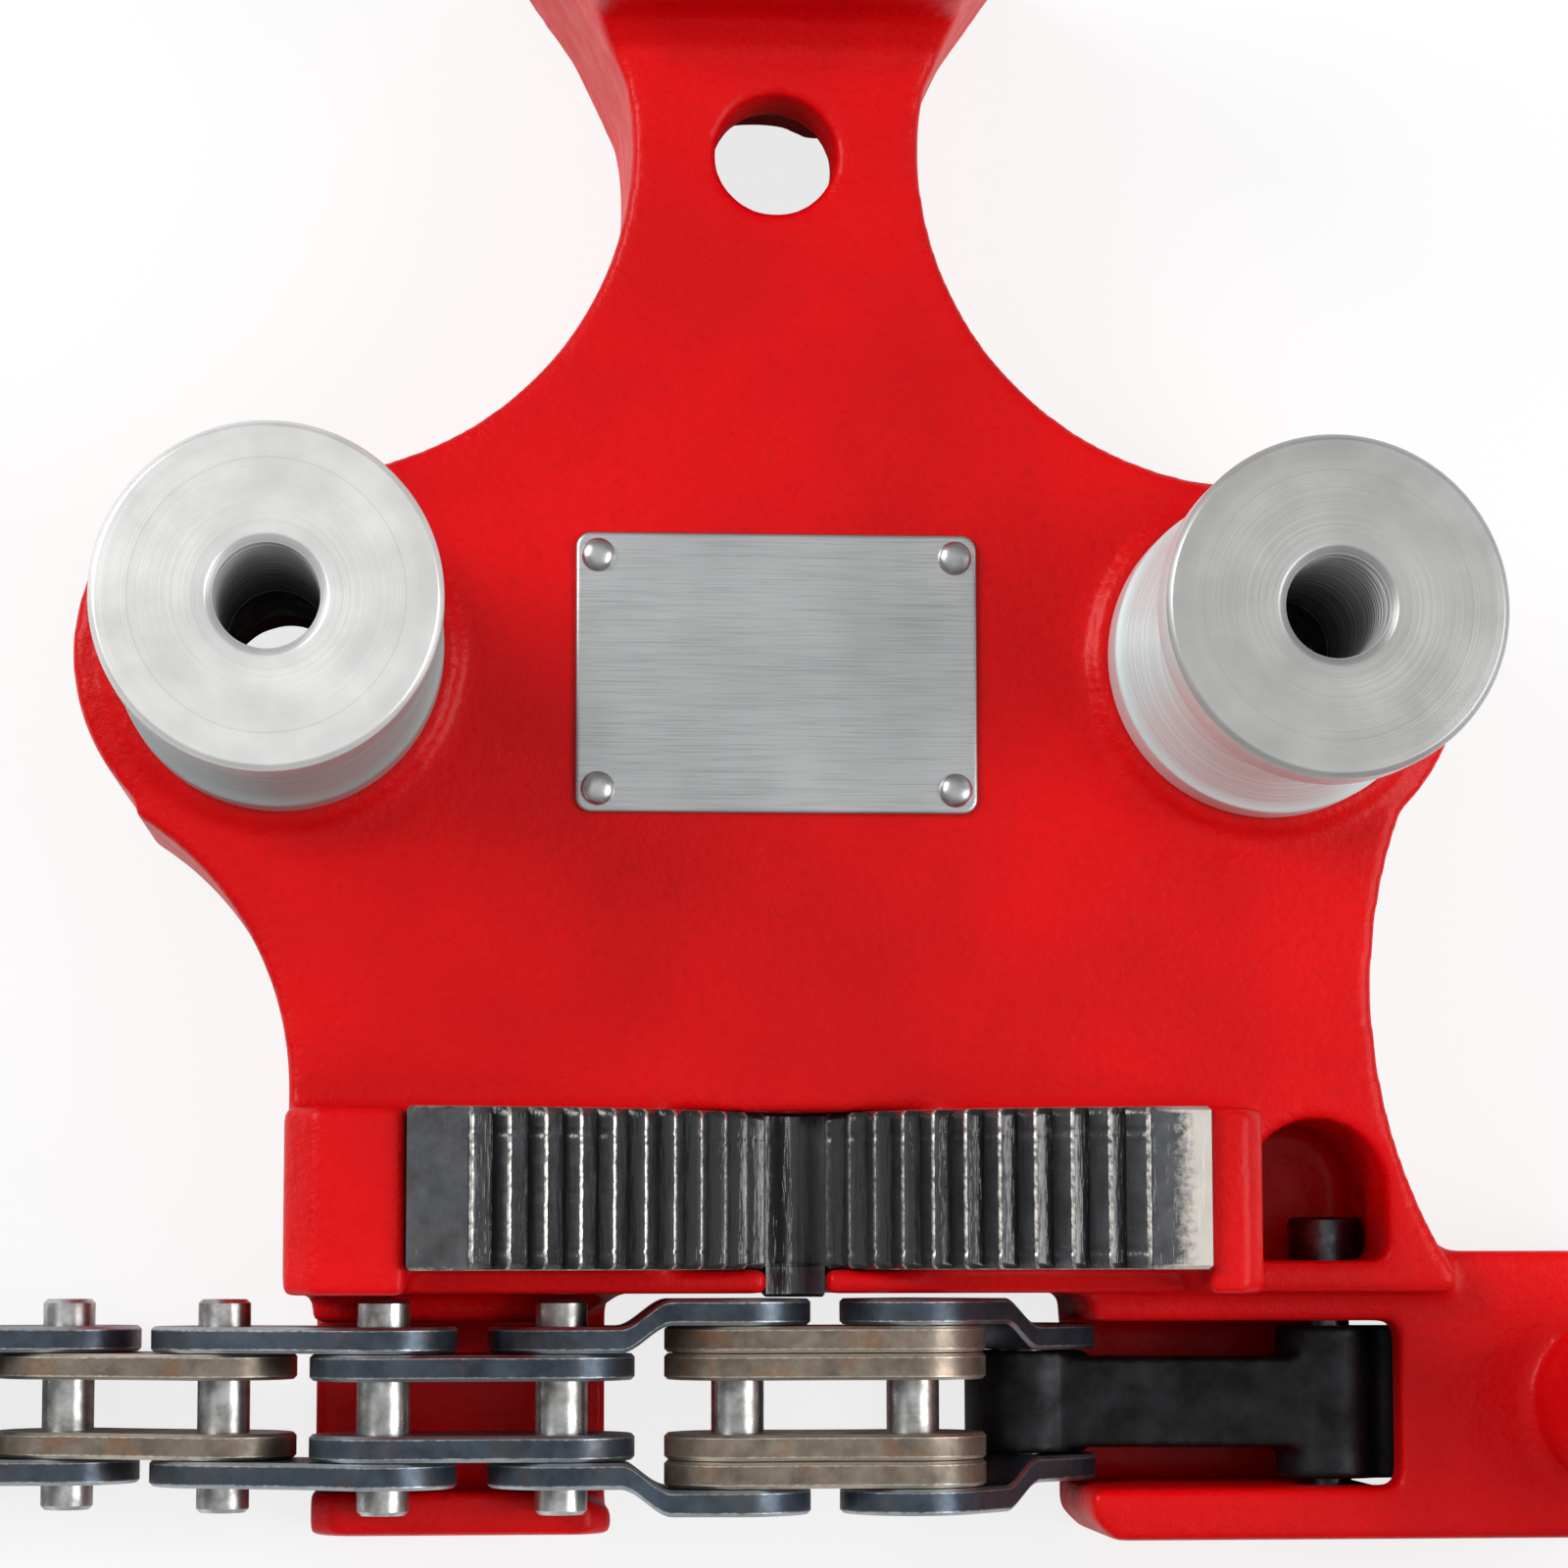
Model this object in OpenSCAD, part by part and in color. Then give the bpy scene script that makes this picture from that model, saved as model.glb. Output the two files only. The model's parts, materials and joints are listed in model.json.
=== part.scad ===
// Chain pipe vise for bench mounting, modelled as its separate pieces.
// Millimetres. X runs left to right, Y from the chain side to the pipe rest, Z up.
// The origin lies on the mounting plane, midway between the two roller bolts.

/* [Body] */
// Height of the deck above the bench
deck_z = 50; // [46:1:56]
// Thickness of the deck
deck_t = 9; // [7:0.5:11]
// Thickness of the skirt that carries the deck
skirt_t = 8; // [6:0.5:9]
// Half the distance between the two roller bolts
bolt_x = 84; // [80:1:90]
// Radius of the boss under each roller
boss_r = 35; // [34:0.5:38]
// Radius of the hollow on each side of the neck
neck_r = 58; // [56:1:60]
// Distance of the rear bolt hole behind the roller bolts
rear_hole_y = 87.6; // [84:0.2:92]
// Radius of the rear bolt hole
rear_hole_r = 10.5; // [8:0.25:10.5]
// Rear end of the casting
rear_y = 134; // [130:1:140]

/* [Jaw] */
// Width of the jaw
jaw_w = 131; // [125:1:135]
// Sideways place of the middle of the jaw
jaw_x = 3.5; // [2:0.5:5]
// Front face of the jaw
jaw_front_y = -104; // [-105:0.5:-103]
// Depth of the jaw, front to rear
jaw_d = 26.5; // [24:0.5:28]
// Height of the flat ends of the jaw above the deck
jaw_rise = 28; // [26:0.5:30]
// Radius of each convex gripping face
jaw_arc_r = 69; // [66:1:72]
// Number of teeth on each gripping face
jaw_teeth = 10; // [9:1:11]
// Depth of the teeth
tooth_d = 2.2; // [1.5:0.1:2.6]

/* [Rollers] */
// Radius of the roller flanges
roller_r = 27.5; // [26:0.25:29]
// Height of the rollers
roller_h = 62; // [58:1:66]
// Radius of the roller waist
roller_waist_r = 19; // [17:0.5:21]
// Radius of the hole for the mounting bolt
bolt_hole_r = 8.25; // [8:0.05:8.5]

/* [Chain] */
// Distance between two chain pins
pitch = 30; // [29.5:0.1:30.5]
// Height of a link plate
plate_h = 25; // [23:0.5:25.5]
// Thickness of a link plate
plate_t = 4.4; // [4:0.1:4.4]
// Radius of a chain pin
chain_pin_r = 4.5; // [4:0.1:5]
// Slope of the first link, down into the arm
first_slope = 43.1; // [42.5:0.1:43.5]
// Slope of the two links that come down to the bench
drop_slope = 23.9; // [23.5:0.1:24]

/* [Tensioner] */
// Place of the lever pin to the right of the middle
pivot_x = 98; // [97.5:0.5:98.5]
// Height of the lever pin
pivot_z = 26; // [25.5:0.5:26.5]
// Length of the lever from its pin to the screw
outer_arm = 48; // [47.5:0.5:48.5]
// Radius of the chain screw
screw_r = 7; // [6.5:0.1:7.2]
// Radius at which the crank grip turns
crank_len = 80; // [70:1:90]

/* [Hidden] */
$fn = 96;

// radial play of a running fit and of a part that is only put together
run_fit = 0.08;
loose = 0.3;
// how far a cutting body runs past the face that it cuts
past = 1;

// body outline
neck_c = [bolt_x - 1.2, rear_hole_y + 0.9];
neck_corner_x = 70;
right_corner_y = -15;
left_corner = [-110, -32];
front_corner = [2, 8];
flare = [[25, 98], [33.5, 116]];
rest_half = 46;
body_front_y = -108;
body_right_x = 116;
left_hollow = [-135.6, -73.8, 53.6];
left_edge_x = left_hollow[0] + left_hollow[2];
right_hollow = [191.5, -57.1, 89.4];
rest_t = 23;
hole_plate_t = 15;
rest_top_z = deck_z + 30;
rest_low_z = deck_z + 17;
rest_edge = 4;
rest_lip = 9;
rest_foot = 5;
// room below the plate of the rear hole
hole_room_r = 18;
// stiffening ribs, and the solid blocks below the jaw and below the rest
rib = 8;
front_block_y = -72;
rest_block_w = 100;
lug_r = 20;
rim_h = 2;
// spigots that the rollers turn on, from below the deck into the foot of the rollers
spigot_r = bolt_hole_r + 3;
spigot_root = 14;
spigot_top = 12;
rim_r = roller_r + 2;

// chain centre plane and the levels of its plates, counted from the middle out
chain_y = -127;
plate_gap = 0.2;
level_3 = 4.5;
level_2 = level_3 + plate_t + plate_gap;
level_1 = level_2 + plate_t + plate_gap;
pin_half = level_1 + plate_t;
plate_r = plate_h / 2;
links = 14;
// length of the set between the two levels of a cranked plate
set_l = 6.4;

// arm and the slot that the lever works in
arm_top_z = 42;
arm_cover_t = 8;
arm_rear_y = -101;
arm_front_y = -150;
arm_left_x = 54;
arm_end_x = pivot_x + outer_arm + 20;
arm_corner = 8;
arm_nose = 4;
arm_root = 16;
slot_half = 14.1;
hub_r = 9;
slot_right_x = pivot_x + hub_r + 0.6;
channel_half = 17;
fork_floor_t = 3;
screw_x = pivot_x + outer_arm;
arm_boss_r = 15;
arm_boss_z = 70;

// horns that the chain pins rest on, left of the jaw
horn_x0 = -78.3;
horn_x1 = -27;
horn_z = 32.2;
horn_front_y = -149;
horn_edge = 4;
horn_notch = [11, 9, 23];
horn_lead = [8, 3.4];

// lever
lever_half = 8.8;
lever_deep = [8.5, 7];
fork_root = 14;
fork_arm_h = 5.5;
end_r = 10.5;
bush_r = 6;
lever_pin_r = 4;
lever_head_r = 6.5;
lever_head_h = 7.5;
pocket_r = 12;
pocket_front_y = -102.6;
pocket_z = pivot_z - 12;
nut_half = 10;
nut_h = 12;
trunnion_r = 4;
fork_in = nut_half + loose;
fork_h = 6;
fork_out = channel_half - 1;
slot_play = 0.4;
nut_travel = 17.5;

// jaw
jaw_z = deck_z + jaw_rise;
jaw_land = 10.4;
jaw_thick = 11;
arc_start = 8;
arc_end = 59.6;
jaw_screw_x = 42;
jaw_screw_r = 4;
shoulder_z = jaw_z - 2;
shoulder_left = [20, 5];
shoulder_right = [9.5, 3];
nut_room_r = 7.5;
tongue_half = 5;

// screw and crank
washer_t = 2.5;
washer_r = 13.5;
collar_t = 5.5;
collar_r = 11.5;
// groove for the clip, under the arm's cover
groove_r = screw_r - 1.2;
groove_h = 1.6;
groove_z = arm_top_z - arm_cover_t - groove_h - 0.2;
clip_w = 3;
crank_z = arm_boss_z + washer_t + collar_t + 1;
crank_hub_h = 18;
crank_hub_r = 13;
crank_low = 4;
crank_t = 10;
crank_w = 18;
crank_end_r = 11;
roll_pin_r = 2.5;
crank_turn = -40;
spindle_r = 5;
spindle_head_r = 8;
grip_h = 70;

// nameplate
plate_w = 68.5;
plate_l = 48;
plate_mid_y = -3;
plate_thick = 1;
rivet_x = 30.5;
rivet_y = 20;

iron = [0.78, 0.06, 0.06];
black = [0.10, 0.10, 0.11];
steel = [0.72, 0.73, 0.75];
dark_steel = [0.30, 0.30, 0.33];

// ---------- body outline, drawn t inside its edge ----------

module body_edge(t) {
  polygon([
    [-rest_half + t, rear_y - t], [rest_half - t, rear_y - t], [rest_half - t, rear_hole_y],
    [neck_corner_x, neck_c[1] - neck_r - t], [bolt_x, boss_r - t],
    [body_right_x - t, right_corner_y], [body_right_x - t, body_front_y + t],
    [left_edge_x + front_corner[0] + t, body_front_y + t], [left_edge_x + t, body_front_y + front_corner[1]],
    [left_edge_x + t, left_hollow[1]], left_corner + [t, 0], [-bolt_x, boss_r - t],
    [-neck_corner_x, neck_c[1] - neck_r - t], [-rest_half + t, rear_hole_y]
  ]);
}

module body_2d(t = 0) {
  difference() {
    union() {
      difference() {
        body_edge(t);
        translate([left_hollow[0], left_hollow[1]]) circle(left_hollow[2] + t, $fn = 180);
        translate([right_hollow[0], right_hollow[1]]) circle(right_hollow[2] + t, $fn = 180);
      }
      for (side = [-1, 1]) translate([side * bolt_x, 0]) circle(boss_r - t);
    }
    for (side = [-1, 1]) translate([side * neck_c[0], neck_c[1]]) circle(neck_r + t, $fn = 180);
  }
  // straight flare from the neck to the pipe rest
  polygon([
    [flare[0][0] - t, flare[0][1]], [flare[1][0] - t, flare[1][1]], [rest_half - t, rear_y - t],
    [-rest_half + t, rear_y - t], [-flare[1][0] + t, flare[1][1]], [-flare[0][0] + t, flare[0][1]]
  ]);
}

// ---------- jaw profile, in X and Z, from the right end to the left ----------

arc_dx = jaw_w / 2 - jaw_land;
arc_cx = arc_dx + jaw_arc_r * sin(arc_start);
arc_cz = jaw_z - jaw_arc_r * cos(arc_start);
function arc_point(a, r) = [arc_cx - r * sin(a), arc_cz + r * cos(a)];
tooth_step = (arc_end - arc_start) / jaw_teeth;
trough_z = arc_point(arc_end, jaw_arc_r)[1];
trough_x = arc_point(arc_end, jaw_arc_r)[0];

// one side of the toothed face: a crest and a root for each tooth
function tooth_line() = [
  for (i = [0:jaw_teeth - 1], k = [0, 1])
    let (a = arc_start + tooth_step * (i + (k == 0 ? 0 : 0.62)))
    arc_point(a, jaw_arc_r - (k == 0 ? 0 : tooth_d))
];
function flip(points) = [for (i = [len(points) - 1:-1:0]) [-points[i][0], points[i][1]]];
function seat_line() = [for (i = [0:4]) arc_point(arc_start + 44 * i / 4, jaw_arc_r - jaw_thick)];

// the whole jaw as one outline: its face from right to left, then its underside back again
module jaw_2d() {
  face = concat([[jaw_w / 2, jaw_z - jaw_thick], [jaw_w / 2, jaw_z], [arc_dx, jaw_z]],
    tooth_line(), [[trough_x, trough_z - 1]]);
  under = concat(seat_line(), [[0, trough_z - jaw_thick]]);
  polygon(concat(face, flip(face), flip([for (i = [5:-1:0]) under[i]]), flip(flip([for (i = [4:-1:0]) under[i]]))));
}

// the cast cradle under the jaw follows its underside
module cradle_2d() {
  half = jaw_w / 2;
  polygon(concat(
    [[half + shoulder_right[0], 0], [half + shoulder_right[0], shoulder_z - shoulder_right[1]],
     [half + shoulder_right[0] - shoulder_right[1], shoulder_z], [half, shoulder_z], [half, jaw_z - jaw_thick]],
    seat_line(),
    [[0, trough_z - jaw_thick]],
    flip(seat_line()),
    [[-half, jaw_z - jaw_thick], [-half, shoulder_z], [-half - shoulder_left[0] + shoulder_left[1], shoulder_z],
     [-half - shoulder_left[0], shoulder_z - shoulder_left[1]], [-half - shoulder_left[0], 0]]
  ));
}

// the room that the jaw takes out of the casting
module jaw_room_2d() {
  half = jaw_w / 2;
  polygon(concat(
    [[half, jaw_z + past], [half, jaw_z - jaw_thick]],
    seat_line(),
    [[0, trough_z - jaw_thick]],
    flip(seat_line()),
    [[-half, jaw_z - jaw_thick], [-half, jaw_z + past]]
  ));
}

// an XZ drawing pushed out from y0 to y1
module along_y(y0, y1) {
  translate([0, y1, 0]) rotate([90, 0, 0]) linear_extrude(y1 - y0) children();
}

module cyl_y(x, z, r, y0, y1) {
  translate([x, y1, z]) rotate([90, 0, 0]) cylinder(r = r, h = y1 - y0);
}

// ---------- base casting ----------

module rest_2d() {
  polygon([
    [-rest_half, 0], [rest_half, 0], [rest_half, rest_top_z - rest_edge], [rest_half - rest_edge, rest_top_z],
    [rest_half - rest_lip, rest_top_z], [rest_edge, rest_low_z], [-rest_edge, rest_low_z],
    [-rest_half + rest_lip, rest_top_z], [-rest_half + rest_edge, rest_top_z], [-rest_half, rest_top_z - rest_edge]
  ]);
}

module horn_2d() {
  polygon([
    [horn_x0, 0], [horn_x1, 0], [horn_x1, horn_z - horn_edge], [horn_x1 - horn_edge, horn_z],
    [horn_x0 + horn_edge, horn_z], [horn_x0, horn_z - horn_edge], [horn_x0, horn_z - horn_notch[1]],
    [horn_x0 + horn_notch[0], horn_z - horn_notch[1] - 2],
    [horn_x0 + horn_notch[0], horn_z - horn_notch[2] + 2], [horn_x0, horn_z - horn_notch[2]]
  ]);
}

// plan of the arm in front of the body and to its right
module arm_2d() {
  polygon([
    [arm_left_x, body_front_y], [body_right_x, body_front_y], [body_right_x, arm_rear_y],
    [arm_end_x - arm_corner, arm_rear_y], [arm_end_x, arm_rear_y - arm_corner], [arm_end_x, arm_front_y + arm_corner],
    [arm_end_x - arm_corner, arm_front_y], [arm_left_x + arm_nose, arm_front_y], [arm_left_x, arm_front_y + arm_nose]
  ]);
}

// web that carries the arm's rear edge into the body
module arm_root_2d() {
  polygon([
    [body_right_x - arm_root, arm_rear_y + arm_root / 2], [body_right_x - arm_root / 2, arm_rear_y + arm_root / 2],
    [body_right_x, arm_rear_y], [body_right_x, body_front_y], [body_right_x - arm_root, body_front_y]
  ]);
}

module hollow_underside() {
  difference() {
    translate([0, 0, -past]) linear_extrude(deck_z - deck_t + past) body_2d(skirt_t);
    for (side = [-1, 1]) translate([side * bolt_x, 0, 0]) cylinder(r = lug_r, h = deck_z);
    translate([0, rear_hole_y, deck_z - hole_plate_t]) cylinder(r = rear_hole_r + skirt_t, h = hole_plate_t);
    translate([left_edge_x - past, body_front_y - past, 0])
      cube([body_right_x - left_edge_x + 2 * past, front_block_y - body_front_y + past, deck_z]);
    translate([-bolt_x - boss_r, -rib / 2, 0]) cube([2 * (bolt_x + boss_r), rib, deck_z]);
    translate([-rib / 2, front_block_y - past, 0]) cube([rib, rear_y - front_block_y, deck_z]);
    translate([-rest_block_w / 2, rear_y - rest_t - skirt_t, 0]) cube([rest_block_w, rest_t + skirt_t, deck_z]);
  }
}

module body_solids() {
  linear_extrude(deck_z) body_2d();
  linear_extrude(arm_top_z) arm_root_2d();
  for (side = [-1, 1]) translate([side * bolt_x, 0, deck_z]) cylinder(r = rim_r, h = rim_h);
  translate([jaw_x, 0, 0]) along_y(body_front_y, jaw_front_y + jaw_d) cradle_2d();
  pipe_rest();
}

// V for the pipe, with a sloped foot where it meets the deck, trimmed to the plan of the body
module pipe_rest() {
  front_y = rear_y - rest_t;
  intersection() {
    along_y(front_y - rest_foot, rear_y) rest_2d();
    union() {
      translate([-rest_half, front_y, 0]) cube([2 * rest_half, rest_t + past, rest_top_z + past]);
      translate([-rest_half, 0, 0]) rotate([90, 0, 90]) linear_extrude(2 * rest_half) polygon([
        [front_y - rest_foot, deck_z - past], [front_y - rest_foot, deck_z],
        [front_y + past, deck_z + rest_foot + past], [front_y + past, deck_z - past]
      ]);
    }
    linear_extrude(rest_top_z + past) body_2d();
  }
}

module lever_space() {
  translate([arm_left_x - past, chain_y - slot_half, fork_floor_t])
    cube([slot_right_x - arm_left_x + past, 2 * slot_half, arm_top_z]);
  translate([slot_right_x - past, chain_y - channel_half, -past])
    cube([arm_end_x - 6 - slot_right_x + past, 2 * channel_half, arm_top_z - arm_cover_t + past]);
}

// the casting is one piece; it is drawn as three blocks that meet face to face: body, arm and horns
module base_casting() {
  color(iron) difference() {
    body_solids();
    hollow_underside();
    translate([jaw_x, 0, 0]) along_y(jaw_front_y, jaw_front_y + jaw_d) jaw_room_2d();
    // jaw cradle kept open in front of the jaw, down to the ledge
    translate([jaw_x - jaw_w / 2, body_front_y - past, deck_z - 1])
      cube([jaw_w, jaw_front_y - body_front_y + past, jaw_rise + 2]);
    // way for the jaw's tongue through the ledge
    translate([jaw_x - tongue_half, body_front_y - past, trough_z - jaw_thick])
      cube([2 * tongue_half, jaw_front_y - body_front_y + 2 * past, deck_z]);
    // pocket for the head of the lever pin
    translate([pivot_x - 6, pocket_front_y + pocket_r, pocket_z]) cylinder(r = pocket_r, h = deck_z);
    translate([pivot_x - 6 - pocket_r, pocket_front_y, pocket_z]) cube([2 * pocket_r, pocket_r, deck_z]);
    cyl_y(pivot_x, pivot_z, lever_head_r + 1, pocket_front_y, pocket_front_y + 12);
    lever_pin_way();
    // bolt holes, and the room below the plate that carries the rear one
    for (side = [-1, 1]) translate([side * bolt_x, 0, -past])
      cylinder(r = spigot_r + run_fit, h = deck_z + 9);
    translate([0, rear_hole_y, -past]) cylinder(r = rear_hole_r, h = deck_z + 9);
    translate([0, rear_hole_y, -past]) cylinder(r = hole_room_r, h = deck_z - hole_plate_t + past);
    // jaw screws, put in from below
    for (side = [-1, 1]) translate([jaw_x + side * jaw_screw_x, jaw_front_y + jaw_d / 2, -past]) {
      cylinder(r = jaw_screw_r + run_fit, h = jaw_z);
      cylinder(r = nut_room_r, h = deck_z - 10);
    }
    // rivets of the nameplate
    for (sx = [-1, 1], sy = [-1, 1])
      translate([sx * rivet_x, plate_mid_y + sy * rivet_y, deck_z - 6]) cylinder(r = 1.5 + run_fit, h = 8);
  }
}

module lever_pin_way() {
  cyl_y(pivot_x, pivot_z, lever_pin_r + run_fit, arm_front_y - past, pocket_front_y + past);
}

module base_arm() {
  color(iron) difference() {
    union() {
      linear_extrude(arm_top_z) arm_2d();
      translate([screw_x, chain_y, 0]) cylinder(r = arm_boss_r, h = arm_boss_z);
    }
    lever_space();
    lever_pin_way();
    // chain screw
    translate([screw_x, chain_y, -past]) cylinder(r = screw_r + run_fit, h = arm_boss_z + 2 * past);
    translate([screw_x, chain_y, -past]) cylinder(r = arm_boss_r - past, h = arm_top_z - arm_cover_t + past);
  }
}

// two horns on a floor, left of the chain's way; their inner faces open towards the cranked plates
module base_horns() {
  color(iron) difference() {
    union() {
      along_y(chain_y + slot_half, body_front_y) horn_2d();
      along_y(horn_front_y, chain_y - slot_half) horn_2d();
      translate([horn_x0, horn_front_y, 0])
        cube([horn_x1 - horn_x0, body_front_y - horn_front_y, fork_floor_t]);
    }
    translate([0, chain_y, fork_floor_t]) linear_extrude(horn_z) polygon([
      [horn_x1 - horn_lead[0], slot_half], [horn_x1, slot_half + horn_lead[1]],
      [horn_x1 + past, slot_half + horn_lead[1]],
      [horn_x1 + past, -slot_half - horn_lead[1]], [horn_x1, -slot_half - horn_lead[1]],
      [horn_x1 - horn_lead[0], -slot_half]
    ]);
  }
}

// ---------- jaw and its screws ----------

module vise_jaw() {
  color(black) translate([jaw_x, 0, 0]) difference() {
    union() {
      along_y(jaw_front_y, jaw_front_y + jaw_d) jaw_2d();
      translate([-tongue_half, body_front_y - 0.6, trough_z - jaw_thick])
        cube([2 * tongue_half, jaw_front_y - body_front_y + 1.6, jaw_thick - 1]);
    }
    for (side = [-1, 1]) translate([side * jaw_screw_x, jaw_front_y + jaw_d / 2, 0])
      cylinder(r = jaw_screw_r + run_fit, h = arc_point(22, jaw_arc_r)[1] - 3);
  }
}

module jaw_screws() {
  color(dark_steel) for (side = [-1, 1])
    translate([jaw_x + side * jaw_screw_x, jaw_front_y + jaw_d / 2, 0]) difference() {
      union() {
        translate([0, 0, deck_z - 11 - 8]) cylinder(r = 6.5, h = 8);
        translate([0, 0, deck_z - 12]) cylinder(r = jaw_screw_r, h = arc_point(22, jaw_arc_r)[1] - deck_z + 8);
      }
      translate([0, 0, deck_z - 11 - 8 - past]) cylinder(r = 3.6, h = 5, $fn = 6);
    }
}

// ---------- rollers ----------

module roller() {
  rotate_extrude() polygon(concat(
    [[bolt_hole_r, roller_h - 1.2], [bolt_hole_r + 1.2, roller_h], [roller_r - 0.8, roller_h],
     [roller_r, roller_h - 0.8], [roller_r, roller_h - 9]],
    [for (i = [0:16]) let (u = i / 16)
      [roller_r - 1 - (roller_r - 1 - roller_waist_r) * sin(180 * u), roller_h - 10 - (roller_h - 20) * u]],
    [[roller_r, 9], [roller_r, 0.8], [roller_r - 0.8, 0], [spigot_r + run_fit, 0],
     [spigot_r + run_fit, spigot_top + 0.2], [bolt_hole_r, spigot_top + 0.2]]
  ));
}

module roller_left() {
  color(steel) translate([-bolt_x, 0, deck_z + rim_h + 0.05]) roller();
}

module roller_right() {
  color(steel) translate([bolt_x, 0, deck_z + rim_h + 0.05]) roller();
}

module roller_spigots() {
  color(dark_steel) for (side = [-1, 1]) translate([side * bolt_x, 0, deck_z - spigot_root]) difference() {
    cylinder(r = spigot_r, h = spigot_root + rim_h + spigot_top);
    translate([0, 0, -past]) cylinder(r = bolt_hole_r, h = spigot_root + rim_h + spigot_top + 2 * past);
  }
}

// ---------- nameplate ----------

module nameplate() {
  corner = 3;
  color(steel) translate([0, plate_mid_y, deck_z]) difference() {
    union() {
      translate([-plate_w / 2, -plate_l / 2 + corner, 0]) cube([plate_w, plate_l - 2 * corner, plate_thick]);
      translate([-plate_w / 2 + corner, -plate_l / 2, 0]) cube([plate_w - 2 * corner, plate_l, plate_thick]);
      for (sx = [-1, 1], sy = [-1, 1])
        translate([sx * (plate_w / 2 - corner), sy * (plate_l / 2 - corner), 0])
          cylinder(r = corner, h = plate_thick);
    }
    for (sx = [-1, 1], sy = [-1, 1])
      translate([sx * rivet_x, sy * rivet_y, -past]) cylinder(r = 1.5 + run_fit, h = 4);
  }
}

module nameplate_rivets() {
  head_r = 2.9;
  head_h = 1.7;
  dome_r = (head_r * head_r + head_h * head_h) / (2 * head_h);
  color(steel) for (sx = [-1, 1], sy = [-1, 1])
    translate([sx * rivet_x, plate_mid_y + sy * rivet_y, deck_z + plate_thick]) {
      translate([0, 0, -6]) cylinder(r = 1.5, h = 6.2);
      intersection() {
        translate([0, 0, head_h - dome_r]) sphere(dome_r);
        cylinder(r = head_r, h = head_h + past);
      }
    }
}

// ---------- chain ----------

// slope of each link, measured at its right end against +X
slopes = [for (k = [1:links]) k == 1 ? 180 - first_slope : (k == 5 || k == 6) ? 180 + drop_slope : 180];
chain_start = [46, 16.5];
function joint_at(k) =
  k == 1 ? chain_start
  : joint_at(k - 1) + pitch * [cos(slopes[k - 2]), sin(slopes[k - 2])];

// levels of the plates at the right and left end of each link; the third link's plates are doubled
function levels_at(k) =
  k == 1 ? [[level_2, level_1]]
  : k == 2 ? [[level_2, level_2], [level_3, level_3]]
  : k == 3 ? [[level_1, level_2]]
  : k % 2 == 0 ? [[level_3, level_3]]
  : [[level_2, level_2]];

module on_link(k) {
  at = joint_at(k);
  translate([at[0], chain_y, at[1]]) rotate([0, -slopes[k - 1], 0]) children();
}

module stadium(y0, y1) {
  cyl_y(0, 0, plate_r, y0, y1);
  cyl_y(pitch, 0, plate_r, y0, y1);
  translate([0, y0, -plate_r]) cube([pitch, y1 - y0, plate_h]);
}

module link_plate(ends) {
  a = ends[0];
  b = ends[1];
  // the outer end stays flat as far as the plate that it laps
  set_x = a > b ? plate_r + loose : pitch - plate_r - loose - set_l;
  difference() {
    intersection() {
      stadium(min(a, b), max(a, b) + plate_t);
      translate([0, 0, -plate_h]) linear_extrude(2 * plate_h) polygon([
        [-plate_r - past, a], [set_x, a], [set_x + set_l, b], [pitch + plate_r + past, b],
        [pitch + plate_r + past, b + plate_t], [set_x + set_l, b + plate_t],
        [set_x, a + plate_t], [-plate_r - past, a + plate_t]
      ]);
    }
    cyl_y(0, 0, chain_pin_r + run_fit, level_3 - past, pin_half + past);
    cyl_y(pitch, 0, chain_pin_r + run_fit, level_3 - past, pin_half + past);
  }
}

module chain_link(k) {
  color(dark_steel) on_link(k) for (ends = levels_at(k)) {
    link_plate(ends);
    mirror([0, 1, 0]) link_plate(ends);
  }
}

module chain_pin(k) {
  color(steel) on_link(k) {
    cyl_y(pitch, 0, chain_pin_r, -pin_half, pin_half);
  }
}

// ---------- lever, its bush and pins ----------

// the arm from the pin to the chain end, drawn along its own length
module lever_arm_2d(length) {
  polygon([
    [0, -lever_deep[0]], [0, lever_deep[0]], [length / 2, lever_deep[1]], [length, lever_deep[0]],
    [length, -lever_deep[0]], [length / 2, -lever_deep[1]]
  ]);
}

module tension_lever() {
  end = chain_start - [pivot_x, pivot_z];
  color(dark_steel) translate([pivot_x, chain_y, pivot_z]) difference() {
    union() {
      rotate([90, 0, 0]) rotate([0, 0, atan2(end[1], end[0])]) translate([0, 0, -lever_half + 1])
        linear_extrude(2 * lever_half - 2) lever_arm_2d(norm(end));
      cyl_y(0, 0, hub_r, -slot_half + 1, slot_half - 1);
      cyl_y(end[0], end[1], end_r, -lever_half, lever_half);
      translate([0, -slot_half + 1, -fork_arm_h]) cube([outer_arm - 16, 2 * slot_half - 2, 2 * fork_arm_h]);
      translate([fork_root, -fork_out, -fork_arm_h]) cube([outer_arm - 6, 2 * fork_out, 2 * fork_arm_h]);
      translate([outer_arm - 6, -fork_out, -fork_h]) cube([15.5, 2 * fork_out, 2 * fork_h]);
    }
    // fork for the nut
    translate([outer_arm - 15, -fork_in, -10]) cube([40, 2 * fork_in, 20]);
    // long square-ended holes for the trunnions
    translate([outer_arm - trunnion_r - slot_play, -fork_out - past, -trunnion_r - slot_play])
      cube([2 * (trunnion_r + slot_play) + 3.2, 2 * fork_out + 2 * past, 2 * (trunnion_r + slot_play)]);
    cyl_y(0, 0, bush_r, -slot_half, slot_half);
    cyl_y(end[0], end[1], chain_pin_r + run_fit, -slot_half, slot_half);
  }
}

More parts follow.
